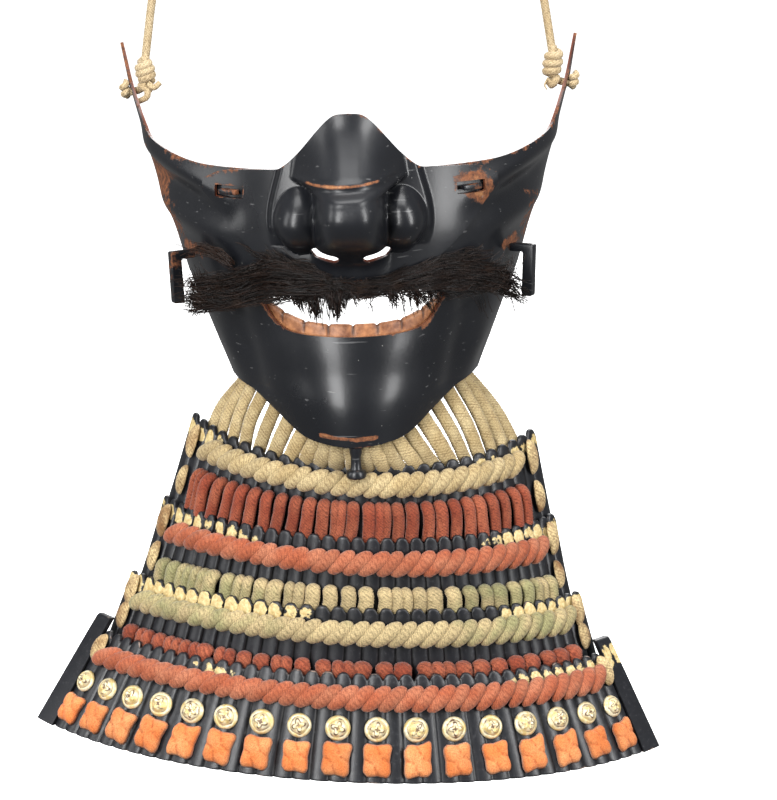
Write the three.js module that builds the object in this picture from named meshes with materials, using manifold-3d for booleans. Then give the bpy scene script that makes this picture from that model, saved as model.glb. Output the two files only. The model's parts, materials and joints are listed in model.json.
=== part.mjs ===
// Half face mask of a Japanese armour, with the laced throat guard that hangs from its jaw.
// Millimetres, +Z up. The wearer looks along -Y, and x grows to the right of the picture.
// Every piece is worked out from the sizes below, with z = 0 at the corners of the mouth and y = 0
// at the ear line. The finished object's origin is the top of its hanging cord.
import * as THREE from 'three';
import { mergeVertices } from 'three/addons/utils/BufferGeometryUtils.js';
import Module from 'manifold-3d';

const wasm = await Module();
wasm.setup();

// Mask: overall sizes and plate
const earWidth = 192;
const earRise = 95;
const chinDrop = 61;
const maskDepth = 98;
const plate = 1.4;
const gap = 0.3;
const lapGap = 0.95;
const jawFlange = 13;

// Nose and mouth
const noseReach = 35;
const noseHalf = 19;
const noseTop = 77;
const noseWindowHalf = 24;
const noseWindowFoot = 11;
const tabHalf = 57.5;
const mouthHalf = 37;
const lipDrop = 15;
const lipRise = 3;
const nostrilLength = 11;
const nostrilHeight = 2.8;
const toothCount = 8;
const toothHeight = 5;
const toothThickness = 2;
const toothRoot = 4;
const teethReach = 0.8;
const lipRiseAtEnds = 0.38;

// Pegs, hooks, drain tube and moustache
const slotLength = 13;
const slotHeight = 5;
const pegLength = 9;
const pegHeight = 2;
const pegStand = 3;
const hookArm = 11;
const hookBar = 4.6;
const hookDrop = 22;
const hookDepth = 4;
const hookLean = 0.04;
const hookAcross = 0.67;
const hookHeight = 0.15;
const tubeRadius = 2.5;
const tubeBore = 1.5;
const tubeLength = 13;
const drillLength = 20;
const hairHalf = 69;
const hairThick = 5;
const hairTall = 7.5;
const hairStraight = 0.5;
const hairFall = 0.62;
const lockLength = 15;

// Throat guard: a flaring surface from its first lame down to its last
const guardTopHalf = 71;
const guardBottomHalf = 132;
const guardTopFront = 88;
const guardBottomFront = 124;
const guardTopEnd = 35;
const guardBottomEnd = 74;
const guardTop = 71;
const guardHeight = 125.6;
const guardTurn = THREE.MathUtils.degToRad(4);
const guardShift = 1;
const sweep = THREE.MathUtils.degToRad(60);
const lamePlate = 1.5;
const lameTuck = 6.5;
const lameOverlap = 8;
const headCount = 27;
const headDip = 2.2;
const plainFrom = 0.9;

// Lacing, studs and knots
const laceThick = 3.6;
const laceStrip = 4;
const lacePocket = 2.5;
const bandThick = 5.2;
const bandTall = 9.4;
const lumpCount = 25;
const edgeLaceWidth = 4;
const edgeLaceThick = 2.6;
const studCount = 17;
const studRadius = 5.2;
const studHeight = 3.4;
const crossSize = 12.6;
const crossThick = 3.2;
const studDrop = 0.828;
const crossDrop = 0.926;
const trimReach = 0.85;

// Hanging cord, its ear holes and knots
const cordDiameter = 3.5;
const earHoleRadius = 2.6;
const earHoleTurn = 0.97;
const earHoleHeight = 75;
const knotRadius = 3.9;
const knotHeight = 81;
const cordPoints = [
  [-87.2, -4, 86.5], [-85.2, -4.4, 100], [-83, -5, 114], [-79, -6, 135], [-71.5, -7, 157],
  [-60, -8, 178], [-43.5, -8, 196], [-22.5, -8, 209], [0, -8, 213.5], [22.5, -8, 209],
  [43.5, -8, 196], [60, -8, 178], [71.5, -7, 157], [79, -6, 135], [83, -5, 114],
  [85.2, -4.4, 100], [87.2, -4, 86.5],
];
const cordSteps = 36;
const cordSides = 8;
const hangPoint = new THREE.Vector3(0, -8, 213.5 + cordDiameter / 2);

// Finishes
const lacquer = { color: 0x14161a, roughness: 0.3, metalness: 0.2 };
const toothLacquer = { color: 0x8a5a3c, roughness: 0.45, metalness: 0.1 };
const hair = { color: 0x231815, roughness: 0.8, metalness: 0 };
const creamLace = { color: 0xc8b487, roughness: 0.9, metalness: 0 };
const greenLace = { color: 0xa9a97c, roughness: 0.9, metalness: 0 };
const redLace = { color: 0xa04432, roughness: 0.9, metalness: 0 };
const gilt = { color: 0xd9c48a, roughness: 0.5, metalness: 0.4 };
const orangeLace = { color: 0xdf7432, roughness: 0.9, metalness: 0 };

// Sections of the mask's wall. height: share of earRise above the mouth, or of chinDrop below it.
// half: share of half the ear width. depth: share of the mask's depth. rear: where the wall ends,
// 1 at the ear line and more behind it.
const wallSections = [
  { height: -1, half: 0.50, depth: 0.985, rear: 0.84 },
  { height: -0.72, half: 0.565, depth: 1, rear: 0.88 },
  { height: -0.5, half: 0.62, depth: 0.985, rear: 0.92 },
  { height: -0.13, half: 0.71, depth: 0.965, rear: 0.98 },
  { height: 0.14, half: 0.785, depth: 0.955, rear: 1.02 },
  { height: 0.35, half: 0.855, depth: 0.945, rear: 1.05 },
  { height: 0.65, half: 0.935, depth: 0.915, rear: 1.07 },
  { height: 1, half: 1, depth: 0.88, rear: 1.04 },
];

// The wall's two edges, from the middle (turn 0) to its rear end (turn 1), as shares of earRise
// above the mouth and of chinDrop below it
const rimEdge = [
  { turn: 0, height: 0.555 }, { turn: 0.38, height: 0.553 }, { turn: 0.48, height: 0.56 },
  { turn: 0.63, height: 0.6 }, { turn: 0.76, height: 0.655 }, { turn: 0.86, height: 0.755 },
  { turn: 1, height: 1 },
];
const jawEdge = [
  { turn: 0, height: -1 }, { turn: 0.16, height: -0.985 }, { turn: 0.33, height: -0.94 },
  { turn: 0.5, height: -0.8 }, { turn: 0.62, height: -0.71 }, { turn: 0.76, height: -0.68 },
  { turn: 1, height: -0.73 },
];

// The nose, from the lip up. height: share of noseTop. half: share of noseHalf. reach: share of
// noseReach.
const noseSections = [
  { height: 0.1, half: 0.7, reach: 0.03 },
  { height: 0.19, half: 0.75, reach: 0.1 },
  { height: 0.25, half: 0.8, reach: 0.3 },
  { height: 0.33, half: 0.92, reach: 0.72 },
  { height: 0.42, half: 1, reach: 0.94 },
  { height: 0.53, half: 1, reach: 1 },
  { height: 0.66, half: 0.86, reach: 0.78 },
  { height: 0.79, half: 0.8, reach: 0.55 },
  { height: 0.91, half: 0.72, reach: 0.36 },
  { height: 1, half: 0.66, reach: 0.26 },
];

// The nose plate's outline. across: share of tabHalf. top: share of noseTop. foot: share of noseTop.
const noseOutline = [
  { across: 0, top: 1, foot: 0.1 },
  { across: 0.09, top: 0.99, foot: 0.1 },
  { across: 0.16, top: 0.945, foot: 0.105 },
  { across: 0.33, top: 0.79, foot: 0.115 },
  { across: 0.47, top: 0.7, foot: 0.15 },
  { across: 0.6, top: 0.687, foot: 0.22 },
  { across: 0.75, top: 0.68, foot: 0.33 },
  { across: 0.9, top: 0.665, foot: 0.45 },
  { across: 1, top: 0.62, foot: 0.55 },
];

// Lames. top: share of guardHeight. lift: how far the ends rise, as a share of guardHeight.
// bandShare: how far the band's middle lies below the top edge, as a share of the band's height.
const lames = [
  { top: 0, lift: 0.06, bandShare: 0.8, lace: creamLace },
  { top: 0.228, lift: 0.008, bandShare: 1.08, lace: redLace },
  { top: 0.45, lift: -0.022, bandShare: 1.08, lace: greenLace },
  { top: 0.656, lift: 0.004, bandShare: 1.0, lace: redLace },
];
const hemLift = 0.042;

// Rows of lacing, from the jaw down. cords: how many hang side by side. fill: how much of the
// spacing a cord takes.
const lacingRows = [
  { cords: 22, fill: 0.76, lace: creamLace },
  { cords: 26, fill: 0.78, lace: redLace },
  { cords: 26, fill: 0.78, lace: greenLace },
  { cords: 26, fill: 0.78, lace: redLace },
];

// Reads a smooth value out of a table, by the named column
function readTable(table, key, column, at) {
  let row = 0;
  while (row < table.length - 2 && at > table[row + 1][key]) {
    row += 1;
  }
  const before = table[Math.max(row - 1, 0)];
  const from = table[row];
  const to = table[row + 1];
  const after = table[Math.min(row + 2, table.length - 1)];
  const span = to[key] - from[key];
  const share = THREE.MathUtils.clamp((at - from[key]) / span, 0, 1);
  const slopeFrom = ((to[column] - before[column]) / (to[key] - before[key])) * span;
  const slopeTo = ((after[column] - from[column]) / (after[key] - from[key])) * span;
  const square = share * share;
  const cube = square * share;
  return (2 * cube - 3 * square + 1) * from[column] + (cube - 2 * square + share) * slopeFrom
    + (3 * square - 2 * cube) * to[column] + (cube - square) * slopeTo;
}

// A height in shares becomes millimetres, and back
function heightOf(share) {
  return share > 0 ? share * earRise : share * chinDrop;
}

function shareOf(height) {
  return height > 0 ? height / earRise : height / chinDrop;
}

// A soft round swelling of height 1 at its middle
function swell(x, z, middleX, middleZ, radiusX, radiusZ) {
  return Math.exp(-(((x - middleX) / radiusX) ** 2) - ((z - middleZ) / radiusZ) ** 2);
}

// A long soft ridge between two points, of height 1
function ridge(x, z, from, to, width) {
  const line = new THREE.Vector2(to[0] - from[0], to[1] - from[1]);
  const here = new THREE.Vector2(x - from[0], z - from[1]);
  const along = THREE.MathUtils.clamp(here.dot(line) / line.lengthSq(), 0, 1);
  const away = here.sub(line.multiplyScalar(along)).length() / width;
  return Math.exp(-(away ** 2));
}

// Folds of the face: how far the wall stands out of its plain section, the same on both sides
function relief(x, z) {
  const side = Math.abs(x) / (earWidth / 2);
  const high = shareOf(z);
  return 3 * swell(side, high, 0.5, 0.22, 0.24, 0.22)
    + 2.4 * ridge(side, high, [0.55, 0.44], [0.92, 0.52], 0.05)
    - 2 * ridge(side, high, [0.6, 0.33], [0.9, 0.38], 0.06)
    - 2.2 * ridge(side, high, [0.36, 0.1], [0.48, -0.35], 0.06)
    + 2.6 * ridge(side, high, [0, -0.36], [0.26, -0.27], 0.12)
    - 2.4 * ridge(side, high, [0, -0.58], [0.22, -0.52], 0.1)
    + 4 * swell(side, high, 0, -0.8, 0.24, 0.18)
    + 1.8 * ridge(side, high, [0.4, -0.75], [0.66, -0.1], 0.07);
}

// A point of the wall's outer face, and the level direction out of it. turn runs from 0 in the
// middle to 1 at the ear line and on behind it, with the sign of its side.
function wallFrame(turn, z) {
  const share = shareOf(z);
  const half = readTable(wallSections, 'height', 'half', share) * earWidth / 2;
  const depth = readTable(wallSections, 'height', 'depth', share) * maskDepth;
  const side = Math.sign(turn) || 1;
  const angle = Math.min(Math.abs(turn), 1) * Math.PI / 2;
  const behind = Math.max(Math.abs(turn) - 1, 0) * maskDepth;
  const x = side * half * Math.sin(angle);
  const point = new THREE.Vector3(x, behind - depth * Math.cos(angle), z);
  const out = new THREE.Vector3(side * depth * Math.sin(angle), -half * Math.cos(angle), 0).normalize();
  return { point, out };
}

function wallFace(turn, z, stand = 0) {
  const { point, out } = wallFrame(turn, z);
  return point.addScaledVector(out, relief(point.x, z) + stand);
}

// The turn at which the wall reaches a given x
function turnAt(x, z) {
  const half = readTable(wallSections, 'height', 'half', shareOf(z)) * earWidth / 2;
  return Math.asin(THREE.MathUtils.clamp(x / half, -1, 1)) / (Math.PI / 2);
}

// How far the nose and its wings stand out of the nose plate
function noseStand(x, z) {
  const share = z / noseTop;
  const half = readTable(noseSections, 'height', 'half', share) * noseHalf;
  const reach = readTable(noseSections, 'height', 'reach', share) * noseReach;
  const across = Math.min(Math.abs(x) / half, 1);
  const bridge = reach * (0.5 + 0.5 * Math.cos(Math.PI * across ** 1.25));
  const wing = 0.42 * noseReach * swell(Math.abs(x), z, 1.05 * noseHalf, 0.44 * noseTop, 8, 10);
  return Math.max(bridge, wing);
}

function noseFace(x, z, stand = 0) {
  return wallFace(turnAt(x, z), z, lapGap + plate + noseStand(x, z) + stand);
}

// Meshes: a closed body from loose triangles, turned so that its faces point out
function closedBody(points) {
  let volume = 0;
  for (let i = 0; i < points.length; i += 3) {
    volume += points[i].dot(points[i + 1].clone().cross(points[i + 2]));
  }
  const turned = volume < 0 ? points.slice().reverse() : points;
  const geometry = new THREE.BufferGeometry().setFromPoints(turned);
  return mergeVertices(geometry, 1e-4);
}

// A plate from a grid of cells, with a wall wherever a filled cell meets an empty one
function plateFromCells(front, back, filled = () => true) {
  const rows = front.length - 1;
  const columns = front[0].length - 1;
  const points = [];
  const quad = (a, b, c, d) => points.push(a, b, c, a, c, d);
  const full = (i, j) => i >= 0 && j >= 0 && i < rows && j < columns && filled(i, j);
  for (let i = 0; i < rows; i += 1) {
    for (let j = 0; j < columns; j += 1) {
      if (!full(i, j)) {
        continue;
      }
      quad(front[i][j], front[i][j + 1], front[i + 1][j + 1], front[i + 1][j]);
      quad(back[i][j], back[i + 1][j], back[i + 1][j + 1], back[i][j + 1]);
      if (!full(i - 1, j)) {
        quad(front[i][j], back[i][j], back[i][j + 1], front[i][j + 1]);
      }
      if (!full(i + 1, j)) {
        quad(front[i + 1][j + 1], back[i + 1][j + 1], back[i + 1][j], front[i + 1][j]);
      }
      if (!full(i, j - 1)) {
        quad(front[i + 1][j], back[i + 1][j], back[i][j], front[i][j]);
      }
      if (!full(i, j + 1)) {
        quad(front[i][j + 1], back[i][j + 1], back[i + 1][j + 1], front[i + 1][j + 1]);
      }
    }
  }
  return closedBody(points);
}

// The grid set back by the plate's thickness, square to its own surface
function setBack(grid, thickness) {
  const last = grid.length - 1;
  const end = grid[0].length - 1;
  return grid.map((row, i) => row.map((point, j) => {
    const across = row[Math.min(j + 1, end)].clone().sub(row[Math.max(j - 1, 0)]);
    const up = grid[Math.min(i + 1, last)][j].clone().sub(grid[Math.max(i - 1, 0)][j]);
    return point.clone().addScaledVector(across.cross(up).normalize(), -thickness);
  }));
}

// A body through a row of closed sections with as many corners each
function loft(sections) {
  const points = [];
  const sides = sections[0].length;
  for (let i = 0; i + 1 < sections.length; i += 1) {
    for (let j = 0; j < sides; j += 1) {
      const next = (j + 1) % sides;
      const [a, b] = [sections[i][j], sections[i][next]];
      const [c, d] = [sections[i + 1][next], sections[i + 1][j]];
      points.push(a, b, c, a, c, d);
    }
  }
  const foot = sections[0];
  const head = sections[sections.length - 1];
  for (let j = 1; j + 1 < sides; j += 1) {
    points.push(foot[0], foot[j + 1], foot[j], head[0], head[j], head[j + 1]);
  }
  return closedBody(points);
}

// Booleans
function toSolid(geometry) {
  const bare = geometry.clone();
  bare.deleteAttribute('normal');
  bare.deleteAttribute('uv');
  const merged = mergeVertices(bare, 1e-4);
  return new wasm.Manifold(new wasm.Mesh({
    numProp: 3,
    vertProperties: Float32Array.from(merged.attributes.position.array),
    triVerts: Uint32Array.from(merged.index.array),
  }));
}

function toGeometry(solid) {
  const mesh = solid.getMesh();
  const geometry = new THREE.BufferGeometry();
  geometry.setAttribute('position', new THREE.BufferAttribute(mesh.vertProperties, 3));
  geometry.setIndex(new THREE.BufferAttribute(mesh.triVerts, 1));
  return geometry;
}

function cutFrom(geometry, cutters) {
  return toGeometry(cutters.reduce((solid, cutter) => solid.subtract(toSolid(cutter)), toSolid(geometry)));
}

function fuse(geometries) {
  return toGeometry(geometries.map(toSolid).reduce((all, solid) => all.add(solid)));
}

// A cutter through the face from front to back, of an outline drawn in x and z
function throughFace(outline, fromY, toY) {
  const shape = new THREE.Shape(outline.map(([x, z]) => new THREE.Vector2(x, z)));
  const geometry = new THREE.ExtrudeGeometry(shape, { depth: toY - fromY, bevelEnabled: false });
  return geometry.rotateX(Math.PI / 2).translate(0, toY, 0);
}

// The object and its two parts: the mask, and the guard turned a little about the chin
const object = new THREE.Group();
const mask = new THREE.Group();
const guard = new THREE.Group();
const chin = new THREE.Vector3(0, -maskDepth, -chinDrop);
mask.position.copy(hangPoint).negate();
guard.position.copy(chin).sub(hangPoint);
guard.rotation.y = guardTurn;
object.add(mask, guard);

function addPiece(parent, name, geometry, finish) {
  const mesh = new THREE.Mesh(geometry, new THREE.MeshStandardMaterial(finish));
  mesh.name = name;
  parent.add(mesh);
  return mesh;
}

// Mask shell: a wall from ear to ear, with the jaw flange turned in along its lower edge
const shellColumns = 24;
const shellRows = 9;

function rimHeight(turn) {
  return heightOf(readTable(rimEdge, 'turn', 'height', Math.abs(turn)));
}

function jawHeight(turn) {
  return heightOf(readTable(jawEdge, 'turn', 'height', Math.abs(turn)));
}

// share runs from -1 to 1 between the two rear ends of the wall at that height
function rearTurn(share, z) {
  return share * readTable(wallSections, 'height', 'rear', shareOf(z));
}

function shellPoint(share, rise, stand = 0) {
  const z = THREE.MathUtils.lerp(jawHeight(share), rimHeight(share), rise);
  return wallFace(rearTurn(share, z), z, stand);
}

function jawUnderside(share, inset) {
  const z = jawHeight(share);
  return wallFace(rearTurn(share, z), z, -inset);
}

function mouthOutline() {
  const upper = [[-1, 0], [-0.75, 0.75], [-0.3, 1], [0.3, 1], [0.75, 0.75], [1, 0]];
  const lower = [[0.8, -0.6], [0.4, -0.95], [0, -1], [-0.4, -0.95], [-0.8, -0.6]];
  return [...upper, ...lower].reverse()
    .map(([x, z]) => [x * mouthHalf, z > 0 ? z * lipRise : z * lipDrop]);
}

function windowOutline() {
  const half = noseWindowHalf;
  return [
    [-half, noseWindowFoot], [half, noseWindowFoot], [half, earRise], [-half, earRise],
  ];
}

const earHole = wallFrame(earHoleTurn, earHoleHeight);

function earHoleCutter(side) {
  const drill = new THREE.CylinderGeometry(earHoleRadius, earHoleRadius, drillLength, 10);
  return drill.rotateZ(Math.PI / 2).translate(side * earHole.point.x, earHole.point.y, earHoleHeight);
}

const tubePlace = jawUnderside(0, tubeRadius + 2 * gap);

function makeShell() {
  const front = [];
  const shares = Array.from({ length: shellColumns + 1 }, (_, j) => 2 * j / shellColumns - 1);
  front.push(shares.map((share) => jawUnderside(share, jawFlange)));
  for (let i = 0; i <= shellRows; i += 1) {
    front.push(shares.map((share) => shellPoint(share, i / shellRows)));
  }
  const wall = plateFromCells(front, setBack(front, plate));
  const drain = new THREE.CylinderGeometry(tubeBore, tubeBore, drillLength, 8);
  drain.rotateX(Math.PI / 2).translate(tubePlace.x, tubePlace.y, tubePlace.z);
  return cutFrom(wall, [
    throughFace(windowOutline(), -2 * maskDepth, -maskDepth / 2),
    throughFace(mouthOutline(), -2 * maskDepth, -maskDepth / 2),
    earHoleCutter(-1),
    earHoleCutter(1),
    drain,
  ]);
}

addPiece(mask, 'mask_shell', makeShell(), lacquer);

// Nose plate: it laps over the shell from tab to tab, with the nostrils and the two peg slots
const noseColumns = 24;
const noseRows = 9;
const slotMiddle = (tabHalf + noseWindowHalf) / 2 + slotLength / 2;
const slotRise = 0.56 * noseTop;

function nostrilOutline(side) {
  const inner = 0.3 * noseHalf;
  const low = 0.23 * noseTop;
  const drop = 0.35 * nostrilLength;
  const outline = [
    [inner, low], [inner + nostrilLength, low + drop],
    [inner + nostrilLength, low + drop + nostrilHeight], [inner, low + nostrilHeight],
  ];
  const placed = outline.map(([x, z]) => [side * x, z]);
  return side > 0 ? placed : placed.reverse();
}

function slotCutter(side) {
  const { point, out } = wallFrame(turnAt(side * slotMiddle, slotRise), slotRise);
  const box = new THREE.BoxGeometry(slotLength, drillLength, slotHeight);
  return box.rotateZ(Math.atan2(out.x, -out.y)).translate(point.x, point.y, point.z);
}

function makeNosePlate() {
  const front = [];
  for (let i = 0; i <= noseRows; i += 1) {
    const rise = i / noseRows;
    front.push(Array.from({ length: noseColumns + 1 }, (_, j) => {
      const across = 2 * j / noseColumns - 1;
      const top = readTable(noseOutline, 'across', 'top', Math.abs(across)) * noseTop;
      const foot = readTable(noseOutline, 'across', 'foot', Math.abs(across)) * noseTop;
      return noseFace(across * tabHalf, THREE.MathUtils.lerp(foot, top, rise));
    }));
  }
  return cutFrom(plateFromCells(front, setBack(front, plate)), [
    throughFace(nostrilOutline(-1), -2 * maskDepth, -maskDepth / 2),
    throughFace(nostrilOutline(1), -2 * maskDepth, -maskDepth / 2),
    slotCutter(-1),
    slotCutter(1),
  ]);
}

addPiece(mask, 'nose_plate', makeNosePlate(), lacquer);

// Nose pegs: a bar on the shell that stands through each slot of the nose plate
function addNosePeg(name, side) {
  const turn = turnAt(side * slotMiddle, slotRise);
  const { out } = wallFrame(turn, slotRise);
  const foot = wallFace(turn, slotRise, lapGap + pegStand / 2);
  const peg = addPiece(mask, name, new THREE.BoxGeometry(pegLength, pegStand, pegHeight), lacquer);
  peg.position.copy(foot);
  peg.rotation.z = Math.atan2(out.x, -out.y);
}

addNosePeg('nose_peg_left', -1);
addNosePeg('nose_peg_right', 1);

// Teeth band: a curved strip behind the lower lip, crowned tooth by tooth
function makeTeeth() {
  const perTooth = 2;
  const columns = toothCount * perTooth;
  const heights = [-toothRoot, 0.35 * toothHeight, toothHeight];
  const grid = (stand) => heights.map((height, row) => (
    Array.from({ length: columns + 1 }, (_, j) => {
      const across = 2 * j / columns - 1;
      const lip = -lipDrop * (1 - lipRiseAtEnds * across ** 2);
      const seam = row === heights.length - 1 && j % perTooth === 0 ? 1 : 0;
      const z = lip + height - seam;
      return wallFace(turnAt(across * teethReach * mouthHalf, z), z, -plate - 2 * lapGap - stand);
    })
  ));
  return plateFromCells(grid(0), grid(toothThickness));
}

addPiece(mask, 'teeth_band', makeTeeth(), toothLacquer);

// Moustache: a backing along the upper lip with locks combed out of it, fused to it. across: share of
// hairHalf. height: share of noseWindowFoot above the lip. size: share of hairTall.
const hairSections = [
  { across: 0, height: 0.35, size: 0.5 },
  { across: 0.25, height: 0.4, size: 0.75 },
  { across: 0.5, height: 0.6, size: 1 },
  { across: 0.75, height: 0.45, size: 0.95 },
  { across: 0.92, height: 0.15, size: 0.7 },
  { across: 1, height: 0, size: 0.25 },
];
const hairThinnest = 0.4;

// Locks on each side. across: share of hairHalf. lean: how far they point up, in radians.
const lockPlaces = [0.3, 0.5, 0.68, 0.84];
const lockLeans = [0.2, -0.55];
const lockThick = 0.7;

// The tuft's middle line follows the lip, then falls away from it behind straight
function hairMiddle(across) {
  const size = readTable(hairSections, 'across', 'size', Math.abs(across));
  const z = readTable(hairSections, 'across', 'height', Math.abs(across)) * noseWindowFoot + lipRise;
  const x = across * hairHalf;
  const straight = hairStraight * hairHalf;
  const near = noseFace(THREE.MathUtils.clamp(x, -straight, straight), noseWindowFoot, 2 * lapGap);
  const fall = hairFall * Math.max(Math.abs(x) - straight, 0);
  const thick = THREE.MathUtils.lerp(hairThinnest, 1, size) * hairThick;
  return { middle: new THREE.Vector3(x, near.y - thick + fall, z), thick, tall: size * hairTall };
}

function makeMoustache() {
  const sides = 6;
  const steps = 16;
  const sections = Array.from({ length: steps + 1 }, (_, i) => {
    const { middle, thick, tall } = hairMiddle(2 * i / steps - 1);
    return Array.from({ length: sides }, (__, j) => {
      const angle = 2 * Math.PI * j / sides;
      return middle.clone().add(new THREE.Vector3(0, thick * Math.cos(angle), tall * Math.sin(angle)));
    });
  });
  const bodies = [loft(sections)];
  for (const side of [-1, 1]) {
    for (const across of lockPlaces) {
      const { middle, tall } = hairMiddle(side * across);
      for (const lean of lockLeans) {
        const lock = new THREE.ConeGeometry(lockThick * tall * hairThick / hairTall, lockLength, 5);
        lock.translate(0, lockLength / 2, 0);
        lock.rotateZ(-side * (Math.PI / 2 - lean));
        lock.translate(middle.x, middle.y, middle.z + lean * hairTall / 2);
        bodies.push(lock);
      }
    }
  }
  return fuse(bodies);
}

addPiece(mask, 'moustache', makeMoustache(), hair);

// Cheek hooks: an arm out of each cheek with a bar down from it
function addHook(name, side) {
  const height = heightOf(hookHeight);
  const turn = turnAt(side * hookAcross * earWidth / 2, height);
  const { out } = wallFrame(turn, height);
  const lean = hookLean * hookDrop;
  const armTall = 0.7 * hookBar;
  const outline = new THREE.Shape([
    new THREE.Vector2(0, 0), new THREE.Vector2(hookArm, 0),
    new THREE.Vector2(hookArm - lean, -hookDrop), new THREE.Vector2(hookArm - lean - hookBar, -hookDrop),
    new THREE.Vector2(hookArm - hookBar, -armTall), new THREE.Vector2(0, -armTall),
  ]);
  const geometry = new THREE.ExtrudeGeometry(outline, { depth: hookDepth, bevelEnabled: false });
  geometry.translate(0, 0, -hookDepth / 2);
  geometry.rotateX(Math.PI / 2);
  const hook = addPiece(mask, name, geometry, lacquer);
  hook.position.copy(wallFace(turn, height, 2 * gap));
  hook.rotation.z = Math.atan2(out.y, out.x);
}

addHook('cheek_hook_left', -1);
addHook('cheek_hook_right', 1);

// Drain tube: flared at both ends, under the flange's drain hole
function makeTube() {
  const flare = 1.25;
  const ring = 1.6;
  const profile = [
    [tubeBore, 0], [tubeRadius * flare, 0], [tubeRadius, ring], [tubeRadius, tubeLength - ring],
    [tubeRadius * flare - 0.3, tubeLength], [tubeBore, tubeLength], [tubeBore, 0],
  ];
  const points = profile.map(([radius, height]) => new THREE.Vector2(radius, height));
  return new THREE.LatheGeometry(points, 10).rotateX(Math.PI / 2);
}

const tube = addPiece(mask, 'drain_tube', mergeVertices(makeTube(), 1e-4), lacquer);
tube.position.set(tubePlace.x, tubePlace.y, -chinDrop - gap - tubeLength);

// Throat guard: its surface, in its own turned frame about the chin
function guardFrame(across, drop) {
  const half = THREE.MathUtils.lerp(guardTopHalf, guardBottomHalf, drop);
  const frontY = THREE.MathUtils.lerp(guardTopFront, guardBottomFront, drop);
  const endY = THREE.MathUtils.lerp(guardTopEnd, guardBottomEnd, drop);
  const angle = across * sweep;
  const round = (Math.cos(angle) - Math.cos(sweep)) / (1 - Math.cos(sweep));
  const x = half * Math.sin(angle) / Math.sin(sweep);
  const y = -THREE.MathUtils.lerp(endY, frontY, round);
  const lift = readTable(liftTable, 'top', 'lift', drop) * guardHeight * (1 - round);
  const out = new THREE.Vector3(
    (frontY - endY) * Math.sin(angle) / (1 - Math.cos(sweep)),
    -half * Math.cos(angle) / Math.sin(sweep),
    0,
  ).normalize();
  const z = -guardTop - drop * guardHeight + lift;
  return { point: new THREE.Vector3(x + guardShift, y, z).sub(chin), out };
}

const liftTable = [...lames, { top: 1, lift: hemLift }];

// A point of a lame's outer face, stand millimetres out of it. Each lame runs in behind the next.
function lameFace(index, across, drop, stand = 0) {
  const { point, out } = guardFrame(across, drop);
  const next = lames[index + 1];
  const tuck = next ? lameTuck * (drop - lames[index].top) / (next.top - lames[index].top) : 0;
  return point.addScaledVector(out, stand - tuck);
}

function lameFoot(index) {
  const next = lames[index + 1];
  return next ? next.top + lameOverlap / guardHeight : 1;
}

// Lames: the top edge is scalloped into heads. The last one has a plain panel at each end.
function makeLame(index) {
  const plain = index === lames.length - 1 ? plainFrom : 1;
  const columns = Array.from({ length: 2 * headCount + 1 }, (_, j) => plain * (j / headCount - 1));
  if (plain < 1) {
    columns.unshift(-1);
    columns.push(1);
  }
  const lowest = plain < 1 ? 1 : 0;
  const grid = (stand) => [lameFoot(index), lames[index].top].map((drop, row) => (
    columns.map((across, j) => {
      const valley = row === 1 && (j - lowest) % 2 === 0 && Math.abs(across) < plain ? headDip : 0;
      return lameFace(index, across, drop + valley / guardHeight, stand);
    })
  ));
  return plateFromCells(grid(0), grid(-lamePlate));
}

lames.forEach((lame, index) => addPiece(guard, `lame_${index + 1}`, makeLame(index), lacquer));

// Lacing: cords side by side that end in one strip, which lies behind the heads of the next lame
function lacingColumns(row) {
  const columns = [];
  for (let cord = 0; cord < row.cords; cord += 1) {
    const middle = (2 * cord + 1) / row.cords - 1;
    columns.push(middle - row.fill / row.cords, middle + row.fill / row.cords);
  }
  return columns;
}

function makeLacing(row, heights, frontAt, backAt) {
  const columns = lacingColumns(row);
  const grid = (face) => heights.map((height) => columns.map((across) => face(across, height)));
  const isCordOrStrip = (i, j) => i === 0 || j % 2 === 0;
  return plateFromCells(grid(frontAt), grid(backAt), isCordOrStrip);
}

// Row 1 hangs from the jaw flange. Its upper ends are in the mask's frame, so they are turned here.
const turnBack = new THREE.Euler(0, -guardTurn, 0);
const firstReach = 0.92;
const jawReach = 0.95;
const rowReach = 0.9;

function firstLacingFace(across, height, stand) {
  const foot = lameFace(0, across * firstReach, lacePocket / guardHeight, stand);
  if (height < 1) {
    const lower = lameFace(0, across * firstReach, (lacePocket + laceStrip) / guardHeight, stand);
    return lower.lerp(foot, height);
  }
  const head = jawUnderside(across * jawReach, 2 * tubeRadius + 4 * gap - stand - lamePlate - gap);
  head.z -= 3 * gap;
  return head.sub(chin).applyEuler(turnBack).lerp(foot, 2 - height);
}

const firstFront = -lamePlate - 4 * gap;
addPiece(guard, 'lacing_1', makeLacing(
  lacingRows[0],
  [0, 1, 2],
  (across, height) => firstLacingFace(across, height, firstFront),
  (across, height) => firstLacingFace(across, height, firstFront - laceThick),
), lacingRows[0].lace);

// Rows 2 to 4 lie on the lame above, from below its band down to the strip
function bandMiddle(index) {
  return lames[index].top + lames[index].bandShare * bandTall / guardHeight;
}

lacingRows.slice(1).forEach((row, index) => {
  const next = lames[index + 1];
  const heights = [
    next.top + (lacePocket + laceStrip) / guardHeight,
    next.top + lacePocket / guardHeight,
    bandMiddle(index) + (bandTall / 2 + gap) / guardHeight,
  ];
  addPiece(guard, `lacing_${index + 2}`, makeLacing(
    row,
    heights,
    (across, drop) => lameFace(index, across * rowReach, drop, 2 * gap + laceThick),
    (across, drop) => lameFace(index, across * rowReach, drop, 2 * gap),
  ), row.lace);
});

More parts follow.
